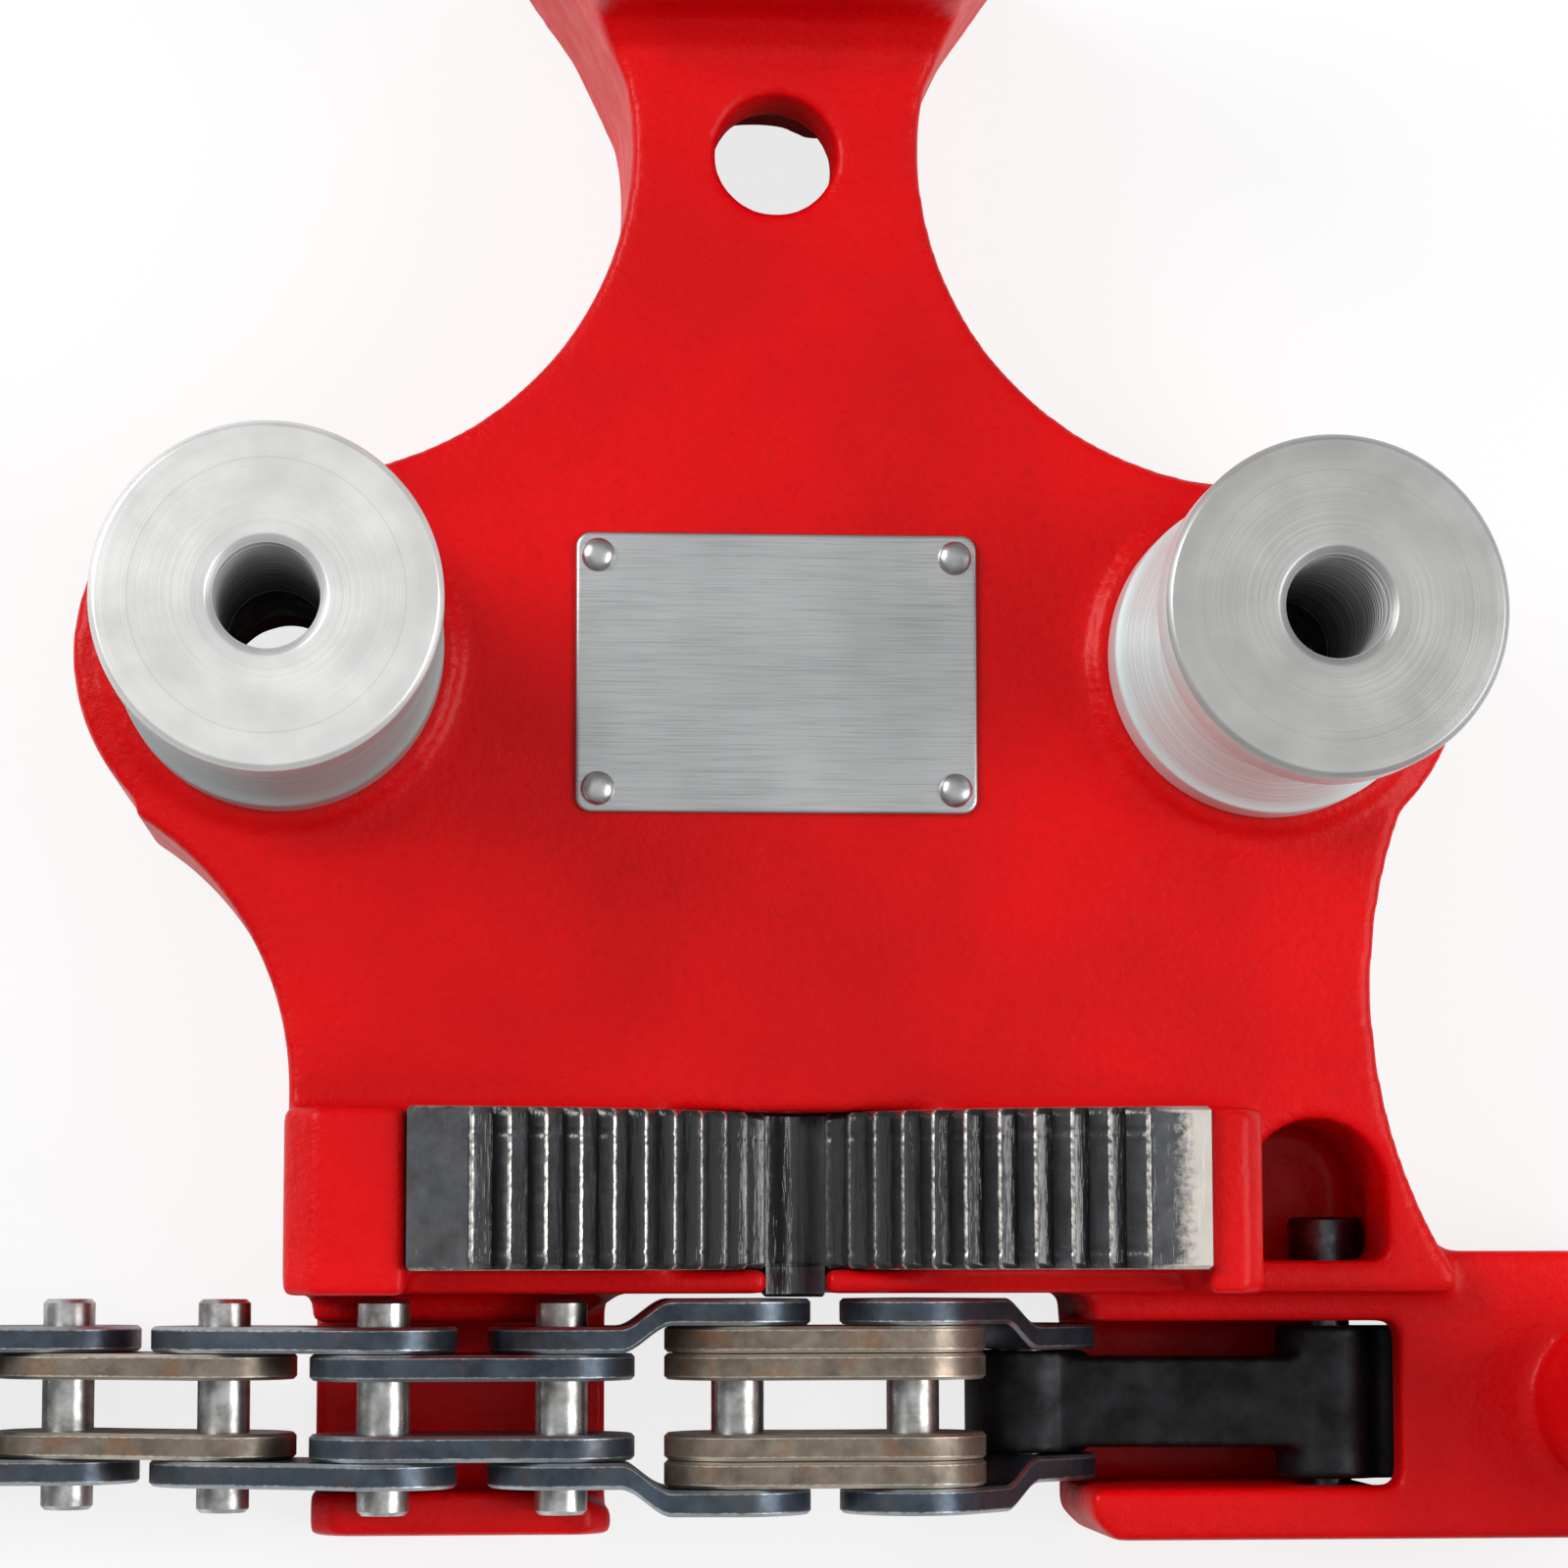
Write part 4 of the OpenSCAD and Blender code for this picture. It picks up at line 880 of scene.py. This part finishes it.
TONGUE_HALF, TONGUE_FRONT, TONGUE_LAP = 5.0, -108.6, 1.0
JAW_EDGE, TONGUE_EDGE, GROUND = 0.6, 0.5, 1.2
points, faces, wear_and_painted_light = plate_shape(jaw_outline(), JAW_DEPTH, JAW_EDGE)
wear_and_painted_light = [jaw_wear_and_shade(u, v, rub_and_shade) for (u, v, w), rub_and_shade in zip(points, wear_and_painted_light)]
points = [(u, JAW_FRONT + w, v) for u, v, w in points]
low, high = TROUGH_Z - JAW_THICK, TROUGH_Z - TROUGH_CUT
tongue = [(-TONGUE_HALF, low), (TONGUE_HALF, low), (TONGUE_HALF, high)]
tongue += [(x, high - dip) for x, dip in CHANNEL]
tongue += [(-x, z) for x, z in reversed(tongue[2:])]
more, ring_faces, more_wear = plate_shape(tongue, JAW_FRONT + TONGUE_LAP - TONGUE_FRONT, TONGUE_EDGE)
faces += [tuple(len(points) + i for i in face) for face in ring_faces]
points += [(u, TONGUE_FRONT + w, v) for u, v, w in more]
# the tongue's wear numbers all lie below zero, so it is darkened as painted shade like the trough
wear_and_painted_light += [rub_and_shade * 0.5 - 0.6 for rub_and_shade in more_wear]
jaw_body = mesh_piece("jaw_body_work", points, faces, jaw_steel, wear_and_painted_light, sharp_deg=40)
print("jaw body:", len(jaw_body.data.polygons), "faces")


# %% One tooth
def tooth_ridge():
    """A ridge along Y; X points away from the trough and Z out of the arc, with the crest at zero."""
    dice = random.Random(7)
    reach = math.radians(STEP) * ARC_R
    # place along the step as a share of its length, height in mm, and wear, which below zero is painted shade
    section = [(0.42, -TOOTH_D - 0.9, -1), (0.40, -TOOTH_D, -1), (0.16, -0.62, -0.9), (0.07, -0.1, -0.3),
               (0.05, -0.03, 0.7), (-0.04, -0.03, 0.64), (-0.08, -0.15, 0.15), (-0.2, -0.72, -0.1),
               (-0.62, -TOOTH_D, -0.8), (-0.64, -TOOTH_D - 0.9, -1)]
    rows, n, points, wear_and_painted_light, drift = 46, len(section), [], [], 0.0
    for j in range(rows + 1):
        t = j / rows
        drift = 0.8 * drift + dice.uniform(-0.05, 0.05)
        nick = 0.2 if dice.random() < 0.05 else 0
        worn_end = max(0, 0.7 - min(t, 1 - t) * JAW_DEPTH)
        for k, (share, z, rub_and_shade) in enumerate(section):
            x = share * reach
            if rub_and_shade > 0.5:
                rub_and_shade += dice.uniform(-0.2, 0.1)
            if 2 <= k <= 7:
                x, z = x + drift, z - nick - worn_end
            points.append((x, JAW_FRONT + 0.15 + t * (JAW_DEPTH - 0.3), z))
            wear_and_painted_light.append(rub_and_shade)
    faces = [tuple(range(n)), tuple(range(rows * n, rows * n + n))]
    for j in range(rows):
        for k in range(n):
            m = (k + 1) % n
            faces.append((j * n + k, j * n + m, (j + 1) * n + m, (j + 1) * n + k))
    return mesh_piece("tooth_work", points, faces, jaw_steel, wear_and_painted_light, sharp_deg=50)


tooth = tooth_ridge()
print("one tooth:", len(tooth.data.polygons), "faces")


# %% Rule for the teeth
def teeth_rule():
    """The body comes in; teeth are turned about Y and set on the arc, and the row is mirrored."""
    tree, given = rule("teeth_on_two_arcs", Tooth="object", Teeth="int", First="float", Step="float",
                       Radius="float", Centre_X="float", Centre_Z="float", Middle_X="float",
                       Finish="material")
    tooth = add(tree, "GeometryNodeObjectInfo", {"Object": given["Tooth"]}).outputs["Geometry"]
    row = add(tree, "GeometryNodePoints", {"Count": given["Teeth"]})
    index = add(tree, "GeometryNodeInputIndex")
    angle = add(tree, "ShaderNodeMath", {0: given["Step"], 1: index, 2: given["First"]},
                operation="MULTIPLY_ADD")
    sine = add(tree, "ShaderNodeMath", {0: angle}, operation="SINE")
    cosine = add(tree, "ShaderNodeMath", {0: angle}, operation="COSINE")
    across = add(tree, "ShaderNodeMath", {0: given["Radius"], 1: sine}, operation="MULTIPLY")
    x = add(tree, "ShaderNodeMath", {0: given["Centre_X"], 1: across}, operation="SUBTRACT")
    z = add(tree, "ShaderNodeMath", {0: given["Radius"], 1: cosine, 2: given["Centre_Z"]},
            operation="MULTIPLY_ADD")
    place = add(tree, "ShaderNodeCombineXYZ", {"X": x, "Z": z})
    placed = add(tree, "GeometryNodeSetPosition", {"Geometry": row, "Position": place})
    back = add(tree, "ShaderNodeMath", {0: angle, 1: -1.0}, operation="MULTIPLY")
    turned = add(tree, "ShaderNodeCombineXYZ", {"Y": back})
    spun = add(tree, "FunctionNodeEulerToRotation", {0: turned})
    teeth = add(tree, "GeometryNodeInstanceOnPoints", {"Points": placed, "Instance": tooth, "Rotation": spun})
    right = add(tree, "GeometryNodeRealizeInstances", {0: teeth})
    left = add(tree, "GeometryNodeTransform", {"Geometry": right, "Scale": (-1, 1, 1)})
    left = add(tree, "GeometryNodeFlipFaces", {0: left})
    whole = add(tree, "GeometryNodeJoinGeometry")
    for part in (given["Geometry"], right, left):
        plug(tree, whole, {0: part})
    shift = add(tree, "ShaderNodeCombineXYZ", {"X": given["Middle_X"]})
    moved = add(tree, "GeometryNodeTransform", {"Geometry": whole, "Translation": shift})
    end_rule(tree, moved, given["Finish"])
    return tree


jaw = grow("jaw_toothed", jaw_body, teeth_rule(), sharp_deg=40, Tooth=tooth, Teeth=STEPS + 1,
           First=math.radians(ARC_START), Step=math.radians(STEP), Radius=ARC_R * MM, Centre_X=ARC_CX * MM,
           Centre_Z=ARC_CZ * MM, Middle_X=JAW_X * MM, Finish=jaw_steel)
bpy.data.objects.remove(tooth)
settle(jaw, "root", "vise_jaw", slot="black_jaw")

# %% [markdown]
# ## Chain
# Each link is a pair of plates, in front of and behind the middle, joined to the next by a pin. The first
# three links are cranked or doubled where the chain widens towards the lever. Every plate is the same
# chamfered shape with round ends and a slight waist. A Simple Deform modifier bends a whole piece, and a
# cranked plate must stay flat at both ends, so it is cut across into strips and its far end is moved
# sideways along a smooth step. The rule then sets the plate on both sides of the middle.

# %% Sizes and levels of the chain
PITCH, PLATE_H, LINK_T, CHAIN_Y, PIN_R, LINKS = 30.0, 25.0, 4.4, -127.0, 4.5, 14
FIRST_PIN, FIRST_SLOPE, DROP_SLOPE = (46.0, 16.5), 43.1, 23.9
GAP, SET_LENGTH, SET_EASE, SET_CLEAR = 0.2, 6.4, 1.2, 0.3
BEND = SET_LENGTH + 2 * SET_EASE
LEVEL_3 = 4.5
LEVEL_2 = LEVEL_3 + LINK_T + GAP
LEVEL_1 = LEVEL_2 + LINK_T + GAP
PIN_HALF = LEVEL_1 + LINK_T


def slope_of(k):
    """How a link leans, in degrees from +X: the first climbs, the fifth and sixth fall, the rest lie flat."""
    return 180 - FIRST_SLOPE if k == 1 else 180 + DROP_SLOPE if k in (5, 6) else 180.0


def joints_of_chain():
    """The pins' places (x, z), one pitch apart along the slopes."""
    found = [FIRST_PIN]
    for k in range(1, LINKS + 1):
        a = math.radians(slope_of(k))
        found.append((found[-1][0] + PITCH * math.cos(a), found[-1][1] + PITCH * math.sin(a)))
    return found


def levels_of(k):
    """How far from the middle a link's plates lie, at the first and the last pin of each."""
    if k == 1:
        return [(LEVEL_2, LEVEL_1)]
    if k == 2:
        return [(LEVEL_2, LEVEL_2), (LEVEL_3, LEVEL_3)]
    if k == 3:
        return [(LEVEL_1, LEVEL_2)]
    return [(LEVEL_3, LEVEL_3)] if k % 2 == 0 else [(LEVEL_2, LEVEL_2)]


chain_joints = joints_of_chain()
print("pins of the chain:", [(round(x, 1), round(z, 1)) for x, z in chain_joints])

# %% One plate of the chain
WAIST_IN, LINK_EDGE, STRIPS, UNEVEN = 1.1, 0.55, 14, 0.03


def chain_plate(name, start_level, end_level, material, dice):
    """A plate from the first pin at zero to the next at the pitch, its inner face at the two levels."""
    r = PLATE_H / 2
    waist = [(PITCH * t, -r + WAIST_IN * math.sin(math.pi * t)) for t in (0.2, 0.35, 0.5, 0.65, 0.8)]
    outline = arc(0, 0, r, 90, 270, 20) + waist + arc(PITCH, 0, r, -90, 90, 20)
    outline += [(u, -v) for u, v in reversed(waist)]
    points, faces, wear_and_painted_light = plate_shape(outline, LINK_T, LINK_EDGE)
    plate = mesh_piece(name, [(u, w, v) for u, v, w in points], faces, material, wear_and_painted_light, sharp_deg=28)
    if start_level != end_level:
        set_x = r + SET_CLEAR if start_level > end_level else PITCH - r - SET_CLEAR - SET_LENGTH
        set_x -= SET_EASE
        work = bmesh.new()
        work.from_mesh(plate.data)
        for i in range(STRIPS + 1):
            cut = (set_x - 0.5 + (BEND + 1.0) * i / STRIPS) * MM
            everything = work.verts[:] + work.edges[:] + work.faces[:]
            bmesh.ops.bisect_plane(work, geom=everything, plane_co=(cut, 0, 0), plane_no=(1, 0, 0))
        for vert in work.verts:
            t = min(1.0, max(0.0, (vert.co.x / MM - set_x) / BEND))
            vert.co.y += (start_level + (end_level - start_level) * (3 * t * t - 2 * t ** 3)) * MM
        work.to_mesh(plate.data)
        work.free()
    else:
        for vert in plate.data.vertices:
            vert.co.y += start_level * MM
    for vert in plate.data.vertices:
        vert.co.z += dice.uniform(-UNEVEN, UNEVEN) * MM
    return plate


print("a crank is", BEND, "mm long and cut into", STRIPS, "strips")


# %% Rule for a pair of plates
def pair_rule():
    """The plate is set on both sides of the middle, turned to the link's slope and moved to its pin."""
    tree, given = rule("plates_in_pairs", Slope="float", Pin_X="float", Pin_Z="float", Middle_Y="float",
                       Finish="material")
    other = add(tree, "GeometryNodeTransform", {"Geometry": given["Geometry"], "Scale": (1, -1, 1)})
    other = add(tree, "GeometryNodeFlipFaces", {0: other})
    pair = add(tree, "GeometryNodeJoinGeometry")
    for plate in (given["Geometry"], other):
        plug(tree, pair, {0: plate})
    back = add(tree, "ShaderNodeMath", {0: given["Slope"], 1: -1.0}, operation="MULTIPLY")
    turned = add(tree, "ShaderNodeCombineXYZ", {"Y": back})
    spun = add(tree, "FunctionNodeEulerToRotation", {0: turned})
    moved = add(tree, "ShaderNodeCombineXYZ", {
        "X": given["Pin_X"], "Y": given["Middle_Y"], "Z": given["Pin_Z"]})
    placed = add(tree, "GeometryNodeTransform", {"Geometry": pair, "Translation": moved, "Rotation": spun})
    end_rule(tree, placed, given["Finish"])
    return tree


pairs = pair_rule()
print(pairs.name, "has", len(pairs.nodes), "nodes")

# %% All the plates
BROWNED = (2, 6, 9, 13)
dice = random.Random(11)
for k in range(1, LINKS + 1):
    x, z = chain_joints[k - 1]
    steel = brown_plate if k in BROWNED else blued_plate
    made = []
    for part, (a, b) in enumerate(levels_of(k)):
        plate = chain_plate("plate_work", a, b, steel, dice)
        made.append(grow(f"chain_plates_{k:02d}_{part}", plate, pairs, sharp_deg=28,
                         Slope=math.radians(slope_of(k)), Pin_X=x * MM, Pin_Z=z * MM,
                         Middle_Y=CHAIN_Y * MM, Finish=steel))
    whole = made[0]
    if len(made) > 1:
        work = bmesh.new()
        for part in made:
            work.from_mesh(part.data)
        work.to_mesh(whole.data)
        work.free()
        bpy.data.objects.remove(made[1])
    whole.name = f"chain_plates_{k:02d}"
    settle(whole, f"link_{k:02d}", f"chain_link_{k:02d}", slot="chain_plate")

# %% [markdown]
# ## Chain pins
# A pin is drawn steel with a broken edge and a shallow turned recess where it was riveted. A cylinder with
# a Bevel modifier would give the edge, and the lathe gives the recess as well. All fourteen and the one in
# the lever's end come from the same profile.

# %% Pins
PIN_RECESS, PIN_EDGE = 0.35, 0.7


def pin_profile(half, r):
    """A pin from end to end, with the recess in both."""
    end = [(0, half - PIN_RECESS), (r * 0.45, half - PIN_RECESS), (r * 0.55, half), (r - PIN_EDGE, half),
           (r, half - PIN_EDGE)]
    return end + [(r, 0)] + [(u, -v) for u, v in reversed(end)]


for k in range(1, LINKS + 1):
    x, z = chain_joints[k]
    pin = lathe(f"chain_pin_turned_{k:02d}", pin_profile(PIN_HALF, PIN_R), (x, CHAIN_Y, z), pin_metal,
                40, "Y")
    settle(pin, f"link_{k:02d}", f"chain_pin_{k:02d}", slot="pin_steel")
x, z = chain_joints[0]
pin = lathe("lever_chain_pin_turned", pin_profile(LEVEL_2 + LINK_T, PIN_R), (x, CHAIN_Y, z), pin_metal,
            40, "Y")
settle(pin, "lever", "lever_chain_pin", slot="pin_steel")

# %% [markdown]
# ## Lever pin
# The lever turns on a long cap screw whose smooth round head lies in the pocket behind the arm. It could be
# two cylinders with a hole cut by a boolean, but one lathe profile gives the rounded head, its socket and
# the shank without a cut.

# %% Lever pin
PIVOT_X, PIVOT_Z, HEAD_Y, CAP_R, CAP_HIGH, SHANK_R = 98.0, 26.0, -102.6, 6.5, 7.5, 4.0
SOCKET_R, SOCKET_DEEP, SOCKET_EDGE, ARM_FRONT = 3.5, 5.0, 0.4, -150.0
top, mouth, tip = HEAD_Y + CAP_HIGH, SOCKET_R + SOCKET_EDGE, ARM_FRONT + 0.5
head_profile = [(0, top - SOCKET_DEEP), (SOCKET_R, top - SOCKET_DEEP), (SOCKET_R, top - SOCKET_EDGE)]
head_profile += [(mouth, top)] + rounded([(mouth, top), (CAP_R, top), (CAP_R, HEAD_Y)], 0.9, 4)[1:]
head_profile += [(SHANK_R, HEAD_Y), (SHANK_R, tip + 0.5), (SHANK_R - 0.5, tip), (0, tip)]
lever_pin = lathe("lever_pin_cap_screw", head_profile, (PIVOT_X, 0, PIVOT_Z), socket_metal, 64, "Y")
settle(lever_pin, "root", "lever_pin", slot="black_oxide")

# %% [markdown]
# ## Chain screw
# Turning the crank draws the nut down a rolled thread and pulls the chain tight. A thread can be a Screw
# modifier on a zigzag, but then its ends stay open. Here each point round the shaft takes its radius from how
# far it is along the helix, so the thread runs out cleanly into the plain shank and the collar.

# %% Threaded screw
SCREW_X, SCREW_R, LEAD, NUT_TRAVEL, NUT_H, THREAD_END, THREAD_DEEP = 146.0, 7.0, 3.5, 17.5, 12.0, 60.0, 1.1
SCREW_LOW = PIVOT_Z - NUT_TRAVEL - NUT_H / 2 + 0.5
CLIP_Z, CLIP_W, CLIP_DEEP = 32.2, 1.6, 1.2
COLLAR_LOW, COLLAR_HIGH, COLLAR_R, COLLAR_EDGE = 72.6, 78.0, 11.5, 0.5
CRANK_Z, CRANK_HUB, TOP_EDGE, RISE, STEP_AT = 79.0, 18.0, 0.8, 0.35, 0.01


def screw_radius(z, turn_share):
    """The screw's radius at a height and at a share of a turn: collar, clip groove, shank or thread."""
    if COLLAR_LOW <= z <= COLLAR_HIGH:
        from_low, from_high = z - COLLAR_LOW, COLLAR_HIGH - z
        return COLLAR_R - max(0, COLLAR_EDGE - from_low) - max(0, COLLAR_EDGE - from_high)
    if CLIP_Z <= z <= CLIP_Z + CLIP_W:
        return SCREW_R - CLIP_DEEP
    if z > THREAD_END:
        return SCREW_R
    point = min((z - SCREW_LOW) / 1.5, 1.0)
    phase = (z / LEAD - turn_share) % 1.0
    depth = THREAD_DEEP * max(0.0, 1 - abs(phase - 0.5) / 0.34) * min(1.0, (THREAD_END - z) / 3)
    return min(SCREW_R - depth, SCREW_R - 1.5 + 1.5 * point)


def threaded_screw():
    """Rings of points up the screw, close enough for the thread and doubled where the radius jumps."""
    top = CRANK_Z + CRANK_HUB + 1
    heights = [SCREW_LOW + RISE * i for i in range(int((THREAD_END - SCREW_LOW) / RISE) + 1)]
    heights += [CLIP_Z - STEP_AT, CLIP_Z, CLIP_Z + CLIP_W, CLIP_Z + CLIP_W + STEP_AT, THREAD_END + 0.1]
    heights += [COLLAR_LOW - STEP_AT, COLLAR_LOW, COLLAR_LOW + COLLAR_EDGE]
    heights += [COLLAR_HIGH - COLLAR_EDGE, COLLAR_HIGH, COLLAR_HIGH + STEP_AT, top - TOP_EDGE, top]
    heights = sorted(set(heights))
    steps, points, faces = 48, [], []
    for z in heights:
        for k in range(steps):
            r = screw_radius(z, k / steps) - (TOP_EDGE if z >= top - STEP_AT else 0)
            a = math.tau * k / steps
            points.append((SCREW_X + r * math.cos(a), CHAIN_Y + r * math.sin(a), z))
    for i in range(len(heights) - 1):
        for k in range(steps):
            m = (k + 1) % steps
            faces.append((i * steps + k, i * steps + m, (i + 1) * steps + m, (i + 1) * steps + k))
    faces += [tuple(range(steps)), tuple(range((len(heights) - 1) * steps, len(heights) * steps))]
    return mesh_piece("chain_screw_threaded", points, faces, screw_metal)


settle(threaded_screw(), "crank", "chain_screw", slot="screw_steel")

# %% [markdown]
# ## Grip and its spindle
# The crank ends in a turning grip, a swollen plastic sleeve with shallow finger rings, on a steel spindle
# whose end is upset over the sleeve. The rings could be waves in the sleeve's profile, but they repeat at
# an even step, so a rule sets them and their number and step stay easy to change.

# %% Grip
CRANK_LEN, CRANK_TURN, SPINDLE_R, CRANK_T, GRIP_H = 80.0, -40.0, 5.0, 10.0, 70.0
RING_ROUND, RING_R, RING_STEP, RING_START, RINGS = 0.7, 12.65, 6.0, 22.0, 5
grip_x = SCREW_X + CRANK_LEN * math.cos(math.radians(CRANK_TURN))
grip_y = CHAIN_Y + CRANK_LEN * math.sin(math.radians(CRANK_TURN))
crank_face = CRANK_Z + 4
grip_z = crank_face + CRANK_T + 1.5
hole = SPINDLE_R + 0.08
sleeve = [(hole, 0), (9.4, 0), (11, 1.6), (12.5, 12), (13.4, 30), (13, 48), (11.5, 62), (10, GRIP_H - 1.5),
          (8.5, GRIP_H), (hole, GRIP_H)]
sleeve_work = lathe("grip_work", rounded(sleeve, 4, 5), (grip_x, grip_y, grip_z), grip_black, 72)


def rings_rule():
    """Low rings at even steps up the sleeve; each is a circle swept round a circle."""
    tree, given = rule("finger_rings", Rings="int", Spacing="float", Radius="float", Section="float",
                       Start_X="float", Start_Y="float", Start_Z="float", Finish="material")
    loop = add(tree, "GeometryNodeCurvePrimitiveCircle", {"Resolution": 72, "Radius": given["Radius"]})
    section = add(tree, "GeometryNodeCurvePrimitiveCircle", {"Resolution": 10, "Radius": given["Section"]})
    ring = add(tree, "GeometryNodeCurveToMesh", {"Curve": loop, "Profile Curve": section})
    start = add(tree, "ShaderNodeCombineXYZ", {
        "X": given["Start_X"], "Y": given["Start_Y"], "Z": given["Start_Z"]})
    step = add(tree, "ShaderNodeCombineXYZ", {"Z": given["Spacing"]})
    line = add(tree, "GeometryNodeMeshLine", {
        "Count": given["Rings"], "Start Location": start, "Offset": step})
    rings = add(tree, "GeometryNodeInstanceOnPoints", {"Points": line, "Instance": ring})
    whole = add(tree, "GeometryNodeJoinGeometry")
    for part in (given["Geometry"], rings):
        plug(tree, whole, {0: part})
    end_rule(tree, whole, given["Finish"])
    return tree


grip = grow("crank_grip_sleeve", sleeve_work, rings_rule(), Rings=RINGS, Spacing=RING_STEP * MM,
            Radius=RING_R * MM, Section=RING_ROUND * MM, Start_X=grip_x * MM, Start_Y=grip_y * MM,
            Start_Z=(grip_z + RING_START) * MM, Finish=grip_black)
settle(grip, "grip", "crank_grip", slot="grip_black")

# %% Spindle
SPINDLE_HEAD_R, SPINDLE_HEAD_H = 8.0, 3.0
end_z = crank_face + CRANK_T + 2 + GRIP_H + 0.6
foot = [(0, CRANK_Z + 2), (SPINDLE_HEAD_R - 0.6, CRANK_Z + 2), (SPINDLE_HEAD_R, CRANK_Z + 2.6),
        (SPINDLE_HEAD_R, crank_face), (SPINDLE_R, crank_face), (SPINDLE_R, end_z)]
upset = rounded([(SPINDLE_R, end_z), (SPINDLE_HEAD_R, end_z), (SPINDLE_HEAD_R, end_z + SPINDLE_HEAD_H),
                 (0, end_z + SPINDLE_HEAD_H)], 1.6, 4)
spindle = lathe("grip_spindle_upset", foot + upset[1:], (grip_x, grip_y, 0), screw_metal, 48)
settle(spindle, "crank", "grip_spindle", slot="screw_steel")

# %% [markdown]
# ## Parts that keep their CAD shape
# The spigots, bush, nut, washer, clip, roll pin and jaw screws are small, hidden for the most part and
# exact in the CAD. They could be dressed like the others, but their own meshes serve, so they only need
# their metal.

# %% Finishes for the rest
kept = {"jaw_screws": socket_metal, "roller_spigots": screw_metal, "lever_bush": bush_metal,
        "trunnion_nut": screw_metal, "thrust_washer": pin_metal, "screw_clip": socket_metal,
        "crank_roll_pin": pin_metal}
for node, metal in kept.items():
    mesh = frame["nodes"][node].data
    mesh.materials.clear()
    mesh.materials.append(metal)
print("kept CAD shapes:", sorted(kept))

# %% [markdown]
# ## Floor and light
# A pale floor takes the shadow. To the camera it is lifted most of the way to pure white, so the ground
# reads white while the shadow stays. The world is a soft studio, white to the camera. An image of a studio
# could stand for it, but a ramp needs no file: mid grey at the horizon, darker a third of the way up, so
# that the turned steel has something to reflect, and bright overhead. Two square lamps, one high at the
# left and behind and one high at the right, add the soft shine.

# %% Floor
FLOOR_HALF, FLOOR_SUNK, FLOOR_LIFT = 8.0, 0.0002, 0.8
floor_material = bpy.data.materials.new("pale_studio_floor")
floor_material.use_nodes = True
tree = floor_material.node_tree
tree.nodes.clear()
ray = add(tree, "ShaderNodeLightPath").outputs
to_eye = add(tree, "ShaderNodeMath", {0: ray["Is Camera Ray"], 1: ray["Is Transmission Ray"]},
             operation="MAXIMUM")
share = add(tree, "ShaderNodeMath", {0: to_eye, 1: FLOOR_LIFT}, operation="MULTIPLY")
matt = add(tree, "ShaderNodeBsdfDiffuse", {"Color": tint("F4F4F4")})
glow = add(tree, "ShaderNodeEmission", {"Color": tint("FFFFFF"), "Strength": 1.0})
lift = add(tree, "ShaderNodeMixShader", {0: share, 1: matt, 2: glow})
add(tree, "ShaderNodeOutputMaterial", {"Surface": lift})
floor_mesh = bpy.data.meshes.new("floor")
floor_mesh.from_pydata([(-FLOOR_HALF, -FLOOR_HALF, 0), (FLOOR_HALF, -FLOOR_HALF, 0),
                        (FLOOR_HALF, FLOOR_HALF, 0), (-FLOOR_HALF, FLOOR_HALF, 0)], [], [(0, 1, 2, 3)])
floor_mesh.materials.append(floor_material)
floor = bpy.data.objects.new("floor", floor_mesh)
floor.location.z = cad_box[0].z - FLOOR_SUNK
bpy.context.scene.collection.objects.link(floor)
print("floor at", round(floor.location.z / MM, 2), "mm")

# %% World
SKY_LEVELS = ((0.35, 0.22), (0.62, 0.28), (0.88, 0.5), (0.96, 0.8))
HORIZON_LEVEL, ZENITH_LEVEL = 0.5, 0.86
world = bpy.data.worlds.new("soft_studio")
bpy.context.scene.world = world
world.use_nodes = True
tree = world.node_tree
tree.nodes.clear()
direction = add(tree, "ShaderNodeTexCoord").outputs["Generated"]
height = add(tree, "ShaderNodeSeparateXYZ", {0: direction}).outputs["Z"]
ramp = add(tree, "ShaderNodeValToRGB", {0: height})
stops = ramp.color_ramp.elements
stops[0].position, stops[0].color = 0.0, (HORIZON_LEVEL, HORIZON_LEVEL, HORIZON_LEVEL, 1)
stops[1].position, stops[1].color = 1.0, (ZENITH_LEVEL, ZENITH_LEVEL, ZENITH_LEVEL, 1)
for position, level in SKY_LEVELS:
    stops.new(position).color = (level, level, level, 1)
camera_ray = add(tree, "ShaderNodeLightPath").outputs["Is Camera Ray"]
seen = add(tree, "ShaderNodeMix", {0: camera_ray, 6: ramp, 7: tint("FFFFFF")}, data_type="RGBA").outputs[2]
sky = add(tree, "ShaderNodeBackground", {"Color": seen, "Strength": 1.0})
add(tree, "ShaderNodeOutputWorld", {"Surface": sky})
print("sky stops:", len(stops))


# %% Lamps
def softbox(name, place, aim, side, power):
    """A square area lamp at place that looks at aim; sides and places are metres."""
    data = bpy.data.lights.new(name, "AREA")
    data.shape = "RECTANGLE"
    data.size = data.size_y = side
    data.energy = power
    lamp = bpy.data.objects.new(name, data)
    bpy.context.scene.collection.objects.link(lamp)
    lamp.location = place
    lamp.rotation_euler = (Vector(aim) - Vector(place)).to_track_quat("-Z", "Y").to_euler()
    print(name, "of", power, "W")


DECK_MIDDLE = (0, 0, DECK_Z * MM)
softbox("key_softbox", (-0.95, 0.45, 0.85), DECK_MIDDLE, 0.6, 12)
softbox("fill_softbox", (0.95, -0.15, 0.9), DECK_MIDDLE, 0.7, 9)
